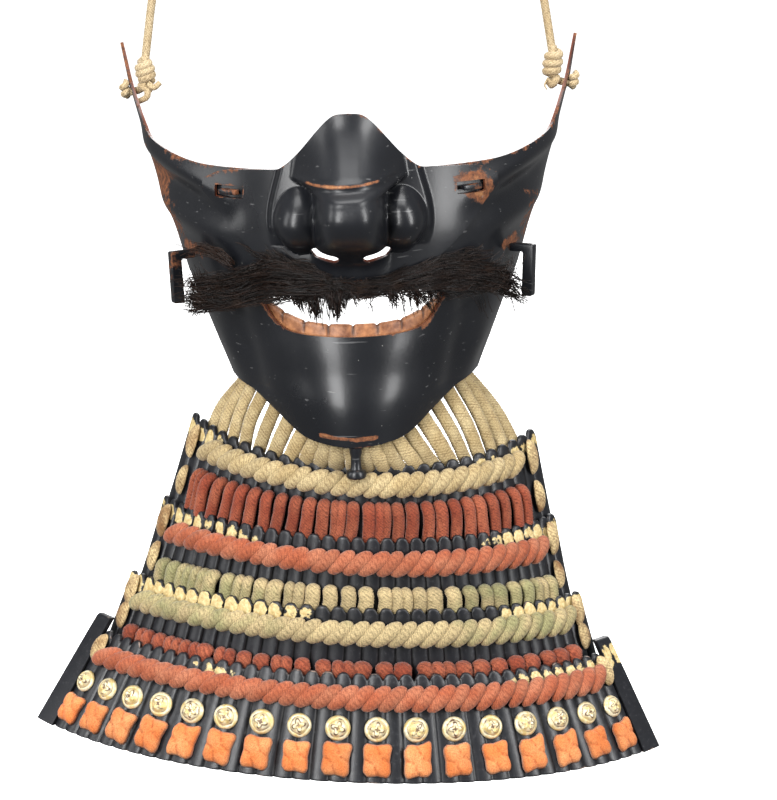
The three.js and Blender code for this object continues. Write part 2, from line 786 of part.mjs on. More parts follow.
// Lace bands: a rope of slanting turns across each lame, fused to the lacing of the lame's ends.
// Its section, in shares of bandThick out and of half bandTall up
const bandSection = [[0, -0.9], [0.9, -0.7], [0.9, 0.7], [0, 0.9]];
const bandWaist = 0.8;
const bandReach = 0.96;
const lastBandReach = 0.88;

function makeLaceBand(index) {
  const reach = index === lames.length - 1 ? lastBandReach : bandReach;
  const middle = bandMiddle(index);
  const sections = Array.from({ length: 2 * lumpCount + 1 }, (_, i) => {
    const across = reach * (i / lumpCount - 1);
    const size = i % 2 === 0 ? bandWaist : 1;
    return bandSection.map(([out, up]) => lameFace(
      index,
      across,
      middle - up * size * bandTall / 2 / guardHeight,
      2 * gap + out * size * bandThick,
    ));
  });
  const bodies = [loft(sections)];
  const foot = index === lames.length - 1 ? middle + bandTall / 2 / guardHeight
    : lames[index + 1].top - 5 * gap / guardHeight;
  const head = lames[index].top + headDip / guardHeight;
  for (const side of [-1, 1]) {
    const outer = side * reach;
    const width = side * edgeLaceWidth / (guardTopHalf + guardBottomHalf) * 2;
    const columns = side < 0 ? [outer, outer - width] : [outer - width, outer];
    const grid = (stand) => [foot, head].map((drop) => (
      columns.map((across) => lameFace(index, across, drop, stand))
    ));
    bodies.push(plateFromCells(grid(2 * gap + edgeLaceThick), grid(2 * gap)));
  }
  return fuse(bodies);
}

lames.forEach((lame, index) => {
  addPiece(guard, `lace_band_${index + 1}`, makeLaceBand(index), lame.lace);
});

// Studs and cross knots along the lowest lame, each square to its face
function addOnHem(name, geometry, finish, across, drop) {
  const last = lames.length - 1;
  const piece = addPiece(guard, name, geometry, finish);
  const foot = lameFace(last, across, drop);
  const up = lameFace(last, across, drop - 0.05).sub(foot).normalize();
  const { out } = guardFrame(across, drop);
  const level = out.clone().cross(up).normalize().negate();
  const square = level.clone().cross(up).normalize();
  piece.quaternion.setFromRotationMatrix(new THREE.Matrix4().makeBasis(level, square.clone().negate(), up));
  piece.position.copy(foot).addScaledVector(square, 2 * gap);
}

function makeStud() {
  const profile = [
    [0, 0], [studRadius, 0], [0.72 * studRadius, 0.75 * studHeight], [0, studHeight],
  ].map(([radius, height]) => new THREE.Vector2(radius, height));
  return mergeVertices(new THREE.LatheGeometry(profile, 8).rotateX(Math.PI), 1e-4);
}

function makeCross() {
  const half = crossSize / 2;
  const notch = 0.84;
  const quarter = [[0, -notch], [1, -1]];
  const outline = [0, 1, 2, 3].flatMap((turn) => quarter.map(([x, z]) => (
    new THREE.Vector2(x * half, z * half).rotateAround(new THREE.Vector2(), turn * Math.PI / 2)
  )));
  const shape = new THREE.Shape(outline);
  return new THREE.ExtrudeGeometry(shape, { depth: crossThick, bevelEnabled: false }).rotateX(Math.PI / 2);
}

for (let i = 0; i < studCount; i += 1) {
  const across = trimReach * (2 * i / (studCount - 1) - 1);
  const number = String(i + 1).padStart(2, '0');
  addOnHem(`stud_${number}`, makeStud(), gilt, across, studDrop);
  addOnHem(`cross_knot_${number}`, makeCross(), orangeLace, across, crossDrop);
}

// Hanging cord: one loop from ear to ear
function makeCord() {
  const path = new THREE.CatmullRomCurve3(cordPoints.map((point) => new THREE.Vector3(...point)));
  const corners = Array.from({ length: cordSides }, (_, i) => {
    const angle = 2 * Math.PI * i / cordSides;
    return new THREE.Vector2(Math.cos(angle), Math.sin(angle)).multiplyScalar(cordDiameter / 2);
  });
  return new THREE.ExtrudeGeometry(new THREE.Shape(corners), { steps: cordSteps, extrudePath: path });
}

addPiece(mask, 'hanging_cord', makeCord(), creamLace);

// Ear knots: a lump inside the flange, a neck through its hole and a stopper outside
function makeEarKnot(side) {
  const { x, y } = earHole.point;
  const inside = x - plate - gap - knotRadius;
  const outside = x + gap + 0.95 * knotRadius;
  const inner = new THREE.SphereGeometry(knotRadius, 7, 5);
  inner.scale(1, 1, 1.2).translate(side * inside, y, knotHeight);
  const lobe = new THREE.SphereGeometry(0.75 * knotRadius, 7, 5);
  lobe.translate(side * inside, y, earHoleHeight);
  const stopper = new THREE.SphereGeometry(0.85 * knotRadius, 7, 5);
  stopper.translate(side * outside, y, earHoleHeight - 1);
  const neck = new THREE.CylinderGeometry(cordDiameter / 2, cordDiameter / 2, 3 * knotRadius, 8);
  neck.rotateZ(Math.PI / 2).translate(side * (x - plate), y, earHoleHeight);
  return fuse([inner, lobe, stopper, neck].map((geometry) => mergeVertices(geometry, 1e-4)));
}

addPiece(mask, 'cord_knot_left', makeEarKnot(-1), creamLace);
addPiece(mask, 'cord_knot_right', makeEarKnot(1), creamLace);

export default object;
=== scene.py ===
import json
import math

import bpy
import numpy as np
from mathutils import Matrix, Vector

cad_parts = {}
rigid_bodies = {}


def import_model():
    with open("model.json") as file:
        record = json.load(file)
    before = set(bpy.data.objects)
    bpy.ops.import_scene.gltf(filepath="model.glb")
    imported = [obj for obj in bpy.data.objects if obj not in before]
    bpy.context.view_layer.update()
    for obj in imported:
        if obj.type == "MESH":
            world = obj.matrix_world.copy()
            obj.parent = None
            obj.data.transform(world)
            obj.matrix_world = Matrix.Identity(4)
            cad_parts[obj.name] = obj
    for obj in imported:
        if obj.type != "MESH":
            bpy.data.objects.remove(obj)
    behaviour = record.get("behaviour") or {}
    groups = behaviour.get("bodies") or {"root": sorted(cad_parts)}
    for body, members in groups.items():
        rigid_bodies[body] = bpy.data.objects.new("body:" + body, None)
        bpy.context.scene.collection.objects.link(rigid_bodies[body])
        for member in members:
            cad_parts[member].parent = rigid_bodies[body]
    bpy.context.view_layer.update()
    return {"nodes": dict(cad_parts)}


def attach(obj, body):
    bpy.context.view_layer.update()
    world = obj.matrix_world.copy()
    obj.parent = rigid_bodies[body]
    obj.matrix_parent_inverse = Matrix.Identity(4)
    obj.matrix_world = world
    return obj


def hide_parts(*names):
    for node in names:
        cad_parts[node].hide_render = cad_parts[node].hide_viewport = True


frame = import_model()

# Camera
# The photograph looks a little down on the mask from straight ahead, with a long lens. The mask's
# own axis leans a degree in the picture, so the camera is rolled by that much.
MASK_ORIGIN = Vector((0, -0.008, 0.21525))
camera_target = Vector((0.0139, -0.060, -0.050)) - MASK_ORIGIN
camera_distance = 1.4
camera_pitch = math.radians(13)
camera_roll = math.radians(-1.2)

camera_data = bpy.data.cameras.new("camera")
camera_data.sensor_width = 36
camera_data.lens = 150
camera = bpy.data.objects.new("camera", camera_data)
away = Vector((0, -math.cos(camera_pitch), math.sin(camera_pitch)))
camera.matrix_world = (
    Matrix.Translation(camera_target + camera_distance * away)
    @ away.to_track_quat("Z", "Y").to_matrix().to_4x4()
    @ Matrix.Rotation(camera_roll, 4, "Z")
)
bpy.context.scene.collection.objects.link(camera)
bpy.context.scene.camera = camera


# Hanging cord
# One limp braided cotton cord, cream gone dull, tied through a hole in each ear flange. Its loop
# runs over the crown from ear to ear, and the mask hangs by the top of it.
MILLIMETRE = 0.001
BRAID_AROUND = 20


def place(points):
    """Millimetres from the mouth's corners become metres in the object's frame."""
    return np.asarray(points, float) * MILLIMETRE - np.array(MASK_ORIGIN)


def add_mesh(name, points, faces, material=None, marks=None):
    """A smooth mesh object. marks are named values, one for each point."""
    mesh = bpy.data.meshes.new(name)
    mesh.from_pydata(np.asarray(points).tolist(), [], [list(map(int, face)) for face in faces])
    for mark, values in (marks or {}).items():
        attribute = mesh.attributes.new(mark, "FLOAT", "POINT")
        attribute.data.foreach_set("value", np.asarray(values, np.float32))
    mesh.shade_smooth()
    mesh.update()
    piece = bpy.data.objects.new(name, mesh)
    bpy.context.scene.collection.objects.link(piece)
    if material:
        mesh.materials.append(material)
    return piece


def smooth_path(points, step):
    """A Catmull-Rom curve through the points, cut into even steps."""
    points = np.asarray(points, float)
    ends = np.vstack([2 * points[0] - points[1], points, 2 * points[-1] - points[-2]])
    fine = []
    for p0, p1, p2, p3 in zip(ends, ends[1:], ends[2:], ends[3:]):
        for t in np.linspace(0, 1, 24, endpoint=False):
            fine.append(0.5 * (2 * p1 + (p2 - p0) * t + (2 * p0 - 5 * p1 + 4 * p2 - p3) * t ** 2
                               + (3 * p1 - p0 - 3 * p2 + p3) * t ** 3))
    fine = np.vstack([fine, points[-1:]])
    along = np.r_[0, np.cumsum(np.linalg.norm(np.diff(fine, axis=0), axis=1))]
    even = np.linspace(0, along[-1], max(int(along[-1] / step), 2) + 1)
    return np.column_stack([np.interp(even, along, fine[:, k]) for k in range(3)]), even


def braid(path, out, half_width, half_thick, stitch=1.3, strands=6, relief=0.16, taper=None):
    """A braid along a path: points, faces and how deep in a groove each point lies.

    out is the direction that the flat side faces. The strands cross in a lattice of small bumps.
    """
    centres, along = path
    steps = len(centres)
    forward = np.gradient(centres, axis=0)
    forward /= np.linalg.norm(forward, axis=1, keepdims=True)
    out = np.broadcast_to(np.asarray(out, float), centres.shape)
    side = np.cross(forward, out)
    side /= np.linalg.norm(side, axis=1, keepdims=True)
    face = np.cross(side, forward)
    angle = np.linspace(0, 2 * np.pi, BRAID_AROUND, endpoint=False)
    turn = strands * angle[None, :] / (2 * np.pi)
    run = along[:, None] / stitch
    bump = np.sqrt(np.abs(np.cos(np.pi * (turn + run)) * np.cos(np.pi * (turn - run))))
    scale = np.ones(steps) if taper is None else np.asarray(taper, float)
    swell = (1 + relief * (bump - 0.6)) * scale[:, None]
    points = (centres[:, None, :]
              + side[:, None, :] * (half_width * swell * np.cos(angle))[..., None]
              + face[:, None, :] * (half_thick * swell * np.sin(angle))[..., None])
    first = np.arange(steps - 1)[:, None] * BRAID_AROUND + np.arange(BRAID_AROUND)
    second = np.arange(steps - 1)[:, None] * BRAID_AROUND + (np.arange(BRAID_AROUND) + 1) % BRAID_AROUND
    quads = np.stack([first, second, second + BRAID_AROUND, first + BRAID_AROUND], -1).reshape(-1, 4)
    points = np.vstack([points.reshape(-1, 3), centres[:1], centres[-1:]])
    ring = np.arange(BRAID_AROUND)
    after = (ring + 1) % BRAID_AROUND
    last = (steps - 1) * BRAID_AROUND
    foot, head = len(points) - 2, len(points) - 1
    faces = quads.tolist()
    faces += [[foot, b, a] for a, b in zip(ring, after)]
    faces += [[head, last + a, last + b] for a, b in zip(ring, after)]
    # groove: how deep between the strands each point lies; the lace finish paints shade there
    groove = np.r_[(1 - bump).reshape(-1), 0.5, 0.5]
    return points, faces, groove


def join_parts(parts):
    """Points, faces and grooves of several bodies as one."""
    points, faces, grooves = [], [], []
    for part_points, part_faces, part_grooves in parts:
        start = sum(len(block) for block in points)
        points.append(part_points)
        faces += [[corner + start for corner in face] for face in part_faces]
        grooves.append(part_grooves)
    return np.vstack(points), faces, np.concatenate(grooves)


def node_adder(tree, prefix=""):
    """A short way to add a node: its kind, its settings and its inputs, by name or as i0, i1, i2."""
    def add(kind, settings=None, **inputs):
        node = tree.nodes.new(prefix + kind)
        for key, value in (settings or {}).items():
            setattr(node, key, value)
        for key, value in inputs.items():
            socket = node.inputs[int(key[1:]) if key[1:].isdigit() else key.replace("_", " ")]
            if isinstance(value, bpy.types.NodeSocket):
                tree.links.new(value, socket)
            else:
                socket.default_value = value
        return node

    return add


def new_finish(name):
    """A material with its shader, and short ways to add nodes and to link them to the shader."""
    material = bpy.data.materials.new(name)
    material.use_nodes = True
    tree = material.node_tree
    shader = tree.nodes["Principled BSDF"]

    def link(output, socket):
        tree.links.new(output, shader.inputs[socket])

    return material, shader, node_adder(tree, "ShaderNode"), link


def mix_colour(add, share, first, second):
    node = add("Mix", {"data_type": "RGBA"}, i0=share)
    for index, value in ((6, first), (7, second)):
        if isinstance(value, bpy.types.NodeSocket):
            node.id_data.links.new(value, node.inputs[index])
        else:
            node.inputs[index].default_value = value
    return node.outputs[2]


def ramp(add, value, *stops):
    """A value through a ramp of (place, grey) stops."""
    node = add("ValToRGB", Fac=value)
    elements = node.color_ramp.elements
    while len(elements) < len(stops):
        elements.new(0.5)
    for element, (position, grey) in zip(elements, stops):
        element.position = position
        element.color = (grey, grey, grey, 1)
    return node.outputs[0]


def lace_finish(name, light, groove_shade_and_fibre, faded, weave=2000.0, worn_middle=0.0):
    """Braided silk or cotton: its own colour on the crowns, painted shade in the grooves, darker fibre
    flecks, faded in soft patches.

    worn_middle is how much more the middle of the mask has faded than its sides.
    """
    material, shader, add, link = new_finish(name)
    where = add("TexCoord").outputs["Object"]
    groove = add("Attribute", {"attribute_name": "groove"}).outputs["Fac"]
    tone = add("Attribute", {"attribute_name": "tone"}).outputs["Fac"]
    patches = add("TexNoise", Vector=where, Scale=90.0, Detail=3.0).outputs["Fac"]
    fibre = add("TexNoise", Vector=where, Scale=weave, Detail=2.0, Roughness=0.7).outputs["Fac"]
    if worn_middle:
        across = add("SeparateXYZ", Vector=where).outputs["X"]
        aside = add("Math", {"operation": "ABSOLUTE"}, i0=across).outputs[0]
        worn = add("MapRange", i0=aside, i1=0.022, i2=0.058, i3=worn_middle, i4=0.0).outputs[0]
        patches = add("Math", {"operation": "ADD"}, i0=patches, i1=worn).outputs[0]
    base = mix_colour(add, ramp(add, patches, (0.38, 0), (0.66, 1)), light, faded)
    # Painted shade: the braid's grooves are darkened towards the groove colour, where shade would fall.
    base = mix_colour(add, ramp(add, groove, (0.30, 0), (0.9, 0.8)), base, groove_shade_and_fibre)
    base = mix_colour(add, ramp(add, fibre, (0.36, 0.6), (0.58, 0)), base, groove_shade_and_fibre)
    bright = add("MapRange", i0=tone, i1=0.0, i2=1.0, i3=0.72, i4=1.22).outputs[0]
    link(add("HueSaturation", Hue=0.5, Saturation=1.0, Value=bright, Color=base).outputs[0], "Base Color")
    link(add("Bump", Strength=0.8, Distance=0.0005, Height=fibre).outputs[0], "Normal")
    shader.inputs["Roughness"].default_value = 0.85
    shader.inputs["Sheen Weight"].default_value = 0.2
    shader.inputs["Sheen Roughness"].default_value = 0.4
    shader.inputs["Specular IOR Level"].default_value = 0.25
    return material


CORD_DIAMETER = 3.5
CORD_STITCH = 1.5
CORD_STRANDS = 8
CORD_RELIEF = 0.14
cord_route = [
    (-0.0872, -0.004, 0.0865), (-0.0852, -0.0044, 0.100), (-0.083, -0.005, 0.114),
    (-0.079, -0.006, 0.135), (-0.0715, -0.007, 0.157), (-0.060, -0.008, 0.178),
    (-0.0435, -0.008, 0.196), (-0.0225, -0.008, 0.209), (0, -0.008, 0.2135),
    (0.0225, -0.008, 0.209), (0.0435, -0.008, 0.196), (0.060, -0.008, 0.178),
    (0.0715, -0.007, 0.157), (0.079, -0.006, 0.135), (0.083, -0.005, 0.114),
    (0.0852, -0.0044, 0.100), (0.0872, -0.004, 0.0865),
]
cord_finish = lace_finish(
    "cord", (0.56, 0.43, 0.25, 1), (0.20, 0.13, 0.06, 1), (0.64, 0.52, 0.33, 1))

cord_path, cord_along = smooth_path(np.array(cord_route) / MILLIMETRE, 0.45)
cord_points, cord_faces, cord_groove = braid(
    (cord_path, cord_along), (0, -1, 0), CORD_DIAMETER / 2, CORD_DIAMETER / 2,
    CORD_STITCH, CORD_STRANDS, CORD_RELIEF)
hanging_cord = add_mesh(
    "cotton_hanging_cord", place(cord_points), cord_faces, cord_finish,
    {"groove": cord_groove, "tone": np.full(len(cord_points), 0.5)})
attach(hanging_cord, "root")
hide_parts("hanging_cord")


# Cord knots
# The same cord pulled into an overhand knot inside each flange, led through the ear hole and
# stopped by a lump outside, with a short frayed end.
ear_hole = np.array([92.3, -3.9, 75.0])
knot_middle = np.array([87.0, -5.2, 83.5])
knot_heights = {-1: 8.5, 1: 11.0}
# frayed ends: their points from the knot's middle, their thickness and how far they taper
loose_ends = {
    -1: [([(1, -2.5, -5), (3.6, -3.0, -6.5), (6.4, -3, -4.5)], 1.5, 0.75),
         ([(1, -2.5, -7), (0.4, -3.2, -10.5), (-3.2, -2, -12.5)], 1.5, 0.8)],
    1: [([(-2, -2, -6), (-3.6, -2.6, -9), (-2.6, -2.6, -11)], 0.5, 0.5)],
}


def wound_cord(centre, radius, turns, height, lean, thick, phase=0.0):
    """Turns of cord wound close round a leaning axis, swelling at the middle."""
    angle = np.linspace(0, 2 * np.pi * turns, int(26 * turns)) + phase
    up = np.linspace(-1, 1, len(angle))
    belly = radius * (1 - 0.35 * up ** 2)
    path = np.column_stack([belly * np.cos(angle), belly * np.sin(angle), up * height / 2])
    path = path @ np.array(Matrix.Rotation(lean, 3, "Y")).T + centre
    fine = smooth_path(path, 0.5)
    out = fine[0] - np.asarray(centre)
    return braid(fine, out, thick, thick, CORD_STITCH, CORD_STRANDS, CORD_RELIEF)


def led_cord(points, thick, end=1.0):
    """A length of cord through the points. end is its thickness there, 1 for the whole."""
    fine = smooth_path(points, 0.5)
    narrowing = np.linspace(1, end, len(fine[0]))
    return braid(fine, (0, -1, 0.01), thick, thick, CORD_STITCH, CORD_STRANDS, CORD_RELIEF, narrowing)


def make_cord_knot(side):
    inner = knot_middle * (side, 1, 1)
    hole = ear_hole * (side, 1, 1)
    tall = knot_heights[side]
    top, foot = inner + (0, 0, tall / 2 + 2), inner + (0, 0, -tall / 2)
    parts = [
        wound_cord(inner, 2.7, 3.4, tall, side * 0.18, 1.75),
        wound_cord(inner + (side * 0.2, 0.0, -tall / 2 - 2.2), 2.0, 1.5, 2.4, -side * 0.7, 1.6, 1.4),
        wound_cord(hole + (side * 3.6, -0.4, 1.0), 1.2, 2.2, 6.5, side * 0.15, 1.35, 0.6),
        led_cord([foot, hole + (-side * 3, 0, 1), hole, hole + (side * 3, 0, -0.5)], 1.6),
        led_cord([top, inner, foot], 1.9),
    ]
    for route, thick, end in loose_ends[side]:
        parts.append(led_cord(inner + np.array(route), thick, end))
    points, faces, groove = join_parts(parts)
    name = "left" if side < 0 else "right"
    marks = {"groove": groove, "tone": np.full(len(points), 0.5)}
    knot = add_mesh(f"cotton_knot_{name}", place(points), faces, cord_finish, marks)
    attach(knot, "root")
    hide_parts(f"cord_knot_{name}")
    return knot


cord_knots = [make_cord_knot(-1), make_cord_knot(1)]


# Black lacquer
# Many thin coats over iron, glossy, with dust, fine scratches and chips. Edges and high spots are
# rubbed through to brown and rust. wear marks how exposed a point is, inside marks the hidden face.
def lacquer_finish():
    material, shader, add, link = new_finish("lacquer")
    where = add("TexCoord").outputs["Object"]
    wear = add("Attribute", {"attribute_name": "wear"}).outputs["Fac"]
    inside = add("Attribute", {"attribute_name": "inside"}).outputs["Fac"]
    blotch = add("TexNoise", Vector=where, Scale=55.0, Detail=7.0, Roughness=0.62).outputs["Fac"]
    grain = add("TexNoise", Vector=where, Scale=420.0, Detail=5.0, Roughness=0.7).outputs["Fac"]
    haze = add("TexNoise", Vector=where, Scale=22.0, Detail=4.0, Roughness=0.55).outputs["Fac"]
    flake = add("TexNoise", Vector=where, Scale=230.0, Detail=8.0, Roughness=0.7).outputs["Fac"]
    broken = add("Mix", {"data_type": "FLOAT"}, i0=0.5, i2=blotch, i3=flake)
    exposed = add("Math", {"operation": "MULTIPLY_ADD"}, i0=wear, i1=0.45, i2=broken.outputs[0])
    worn = ramp(add, exposed.outputs[0], (0.71, 0), (0.76, 1))
    bare = ramp(add, exposed.outputs[0], (0.86, 0), (0.91, 1))
    rusty = ramp(add, grain, (0.35, 0), (0.62, 1))
    rust = mix_colour(add, rusty, (0.040, 0.015, 0.008, 1), (0.23, 0.080, 0.030, 1))
    earthy = ramp(add, grain, (0.35, 0), (0.65, 1))
    ochre = mix_colour(add, earthy, (0.16, 0.055, 0.022, 1), (0.36, 0.17, 0.065, 1))
    specks = add("TexVoronoi", Vector=where, Scale=260.0, Randomness=1.0).outputs["Distance"]
    dust = ramp(add, specks, (0.03, 1), (0.06, 0))
    long_marks = add("Mapping", Vector=where, Rotation=(0.3, 0.4, 0.5), Scale=(30.0, 300.0, 700.0))
    scratch = add("TexNoise", Vector=long_marks.outputs[0], Scale=1.0, Detail=2.0).outputs["Fac"]
    scratches = ramp(add, scratch, (0.70, 0), (0.73, 1))
    black = mix_colour(add, haze, (0.004, 0.0045, 0.006, 1), (0.010, 0.011, 0.014, 1))
    inner = mix_colour(add, haze, (0.10, 0.025, 0.012, 1), (0.23, 0.07, 0.035, 1))
    colour = mix_colour(add, inside, black, inner)
    colour = mix_colour(add, worn, colour, rust)
    colour = mix_colour(add, bare, colour, ochre)
    faint = add("Math", {"operation": "MULTIPLY"}, i0=dust, i1=ramp(add, grain, (0.5, 0), (0.6, 0.5)))
    colour = mix_colour(add, faint.outputs[0], colour, (0.55, 0.55, 0.52, 1))
    marked = add("Math", {"operation": "MULTIPLY"}, i0=scratches, i1=0.16)
    colour = mix_colour(add, marked.outputs[0], colour, (0.4, 0.4, 0.4, 1))
    link(colour, "Base Color")
    gloss = add("MapRange", i0=haze, i1=0.3, i2=0.7, i3=0.25, i4=0.38)
    rough = add("Mix", {"data_type": "FLOAT"}, i0=worn, i2=gloss.outputs[0], i3=0.8)
    link(rough.outputs[0], "Roughness")
    height = add("Math", {"operation": "MULTIPLY_ADD"}, i0=worn, i1=-0.6, i2=grain)
    link(add("Bump", Strength=0.10, Distance=0.0004, Height=height.outputs[0]).outputs[0], "Normal")
    shader.inputs["Specular IOR Level"].default_value = 0.42
    shader.inputs["Coat Weight"].default_value = 0.12
    shader.inputs["Coat Roughness"].default_value = 0.15
    return material


lacquer = lacquer_finish()


# Mask shell
# Cheeks, chin and ear flanges beaten from one iron plate, with a flange turned in along the jaw
# for the lacing. Its nose is a window, filled by the nose plate.
EAR_WIDTH = 192.0
EAR_RISE = 95.0
CHIN_DROP = 61.0
MASK_DEPTH = 98.0
PLATE = 1.4
LAP_GAP = 0.95
JAW_FLANGE = 13.0
NOSE_TOP = 77.0
WINDOW_HALF = 24.0
WINDOW_FOOT = 11.0
MOUTH_HALF = 37.0
LIP_DROP = 15.0
LIP_RISE = 3.0
EAR_FLARE = 1.4
SHARP_EDGE = math.radians(50)

# height: share of EAR_RISE above the mouth, or of CHIN_DROP below it. half and depth: shares of half
# the ear width and of the mask's depth. rear: where the wall ends, 1 at the ear line.
wall_sections = {
    "height": (-1, -0.72, -0.5, -0.13, 0.14, 0.35, 0.65, 1),
    "half": (0.50, 0.565, 0.62, 0.71, 0.785, 0.855, 0.935, 1),
    "depth": (0.985, 1, 0.985, 0.965, 0.955, 0.945, 0.915, 0.88),
    "rear": (0.84, 0.88, 0.92, 0.98, 1.02, 1.05, 1.07, 1.04),
}
rim_edge = {
    "turn": (0, 0.38, 0.48, 0.63, 0.76, 0.86, 1),
    "height": (0.555, 0.553, 0.56, 0.6, 0.655, 0.755, 1),
}
jaw_edge = {
    "turn": (0, 0.16, 0.33, 0.5, 0.62, 0.76, 1),
    "height": (-1, -0.985, -0.94, -0.8, -0.71, -0.68, -0.73),
}


def read_table(table, key, column, at):
    """A smooth value out of a table, by the named column."""
    keys = np.array(table[key], float)
    values = np.array(table[column], float)
    at = np.asarray(at, float)
    row = np.clip(np.searchsorted(keys, at, side="left") - 1, 0, len(keys) - 2)
    span = keys[row + 1] - keys[row]
    share = np.clip((at - keys[row]) / span, 0, 1)
    before = np.maximum(row - 1, 0)
    after = np.minimum(row + 2, len(keys) - 1)
    slope_from = (values[row + 1] - values[before]) / (keys[row + 1] - keys[before]) * span
    slope_to = (values[after] - values[row]) / (keys[after] - keys[row]) * span
    square, cube = share ** 2, share ** 3
    return ((2 * cube - 3 * square + 1) * values[row] + (cube - 2 * square + share) * slope_from
            + (3 * square - 2 * cube) * values[row + 1] + (cube - square) * slope_to)


def height_of(share):
    return np.where(share > 0, share * EAR_RISE, share * CHIN_DROP)


def share_of(height):
    return np.where(height > 0, height / EAR_RISE, height / CHIN_DROP)


def swell(x, z, middle_x, middle_z, radius_x, radius_z):
    return np.exp(-((x - middle_x) / radius_x) ** 2 - ((z - middle_z) / radius_z) ** 2)


def ridge(x, z, start, end, width):
    """A long soft ridge between two points, of height 1."""
    line = np.subtract(end, start)
    along = np.clip(((x - start[0]) * line[0] + (z - start[1]) * line[1]) / line.dot(line), 0, 1)
    away = np.hypot(x - start[0] - along * line[0], z - start[1] - along * line[1])
    return np.exp(-(away / width) ** 2) * np.clip(0.25 + 1.5 * along, 0, 1)


def relief(x, z):
    """How far the folds of the face stand out of the wall's plain section."""
    side = np.abs(x) / (EAR_WIDTH / 2)
    high = share_of(z)
    edge = np.clip((read_table(wall_sections, "height", "half", high) - side) / 0.075, 0, 1)
    folds = (3 * swell(side, high, 0.5, 0.22, 0.24, 0.22)
             + 3.0 * ridge(side, high, (0.50, 0.43), (0.93, 0.60), 0.05)
             - 3.0 * ridge(side, high, (0.52, 0.34), (0.93, 0.48), 0.05)
             + 2.2 * ridge(side, high, (0.58, 0.25), (0.92, 0.36), 0.055)
             - 1.4 * ridge(side, high, (0.56, 0.16), (0.88, 0.22), 0.06)
             - 1.8 * ridge(side, high, (0.44, 0.05), (0.50, -0.12), 0.05)
             - 1.9 * ridge(side, high, (0.50, -0.12), (0.42, -0.66), 0.05)
             + 1.6 * ridge(side, high, (0.57, -0.14), (0.47, -0.72), 0.05)
             + 0.6 * swell(side, high, 0, -0.36, 0.3, 0.14)
             + 2.4 * swell(side, high, 0, -0.95, 0.28, 0.42)
             + 1.4 * ridge(side, high, (0.4, -0.75), (0.66, -0.1), 0.07))
    return folds * edge * (2 - edge)


def wall_face(turn, z, stand=0.0):
    """A point of the wall's outer face. turn is 0 in the middle and 1 at the ear line."""
    turn, z, stand = np.broadcast_arrays(np.asarray(turn, float), z, stand)
    half = read_table(wall_sections, "height", "half", share_of(z)) * EAR_WIDTH / 2
    depth = read_table(wall_sections, "height", "depth", share_of(z)) * MASK_DEPTH
    side = np.where(turn < 0, -1.0, 1.0)
    angle = np.minimum(np.abs(turn), 1) * np.pi / 2
    behind = np.maximum(np.abs(turn) - 1, 0) * MASK_DEPTH
    ear = np.clip((share_of(z) - 0.6) / 0.2, 0, 1) * np.clip((np.abs(turn) - 0.9) / 0.1, 0, 1.6)
    x = side * (half * np.sin(angle) + EAR_FLARE * ear)
    y = behind - depth * np.cos(angle)
    out = np.stack([side * depth * np.sin(angle), -half * np.cos(angle)], -1)
    out /= np.linalg.norm(out, axis=-1, keepdims=True)
    reach = (relief(x, z) + stand)[..., None]
    flat = np.stack([x, y], -1) + out * reach
    return np.concatenate([flat, z[..., None]], -1)


def turn_at(x, z):
    half = read_table(wall_sections, "height", "half", share_of(z)) * EAR_WIDTH / 2
    return np.arcsin(np.clip(x / half, -1, 1)) / (np.pi / 2)


def grid_normals(grid):
    across = np.gradient(grid, axis=1)
    up = np.gradient(grid, axis=0)
    normal = np.cross(across, up)
    return normal / np.maximum(np.linalg.norm(normal, axis=-1, keepdims=True), 1e-9)


def snap_to(outlines, x, z):
    """Which points lie inside a hole's outline, and the nearest point of an outline to each."""
    inside = np.zeros(x.shape, bool)
    best = np.full(x.shape, 1e9)
    near_x, near_z = x.copy(), z.copy()
    for outline in outlines:
        outline = np.asarray(outline, float)
        odd = np.zeros(x.shape, bool)
        for (x0, z0), (x1, z1) in zip(outline, np.roll(outline, -1, axis=0)):
            if z0 != z1:
                crosses = (z0 > z) != (z1 > z)
                odd ^= crosses & (x < (x1 - x0) * (z - z0) / (z1 - z0) + x0)
            line = np.array([x1 - x0, z1 - z0])
            along = np.clip(((x - x0) * line[0] + (z - z0) * line[1]) / line.dot(line), 0, 1)
            px, pz = x0 + along * line[0], z0 + along * line[1]
            away = np.hypot(x - px, z - pz)
            closer = away < best
            best = np.where(closer, away, best)
            near_x = np.where(closer, px, near_x)
            near_z = np.where(closer, pz, near_z)
        inside |= odd
    return inside, near_x, near_z, best


def plate_from_grid(front, back, filled):
    """A closed plate from two grids of points, with a wall round every empty cell."""
    rows, columns = filled.shape
    index = np.arange((rows + 1) * (columns + 1)).reshape(rows + 1, columns + 1)
    shift = index.size
    i, j = np.nonzero(filled)
    a, b, c, d = index[i, j], index[i, j + 1], index[i + 1, j + 1], index[i + 1, j]
    faces = [np.stack([a, b, c, d], -1), np.stack([a, d, c, b], -1) + shift]
    padded = np.pad(filled, 1)
    for step, first, second in (((-1, 0), a, b), ((0, 1), b, c), ((1, 0), c, d), ((0, -1), d, a)):
        open_side = ~padded[i + 1 + step[0], j + 1 + step[1]]
        p, q = first[open_side], second[open_side]
        faces.append(np.stack([p, p + shift, q + shift, q], -1))
    faces = np.vstack(faces)
    points = np.vstack([front.reshape(-1, 3), back.reshape(-1, 3)])
    used = np.unique(faces)
    renumber = np.zeros(len(points), int)
    renumber[used] = np.arange(len(used))
    return points[used], renumber[faces], used


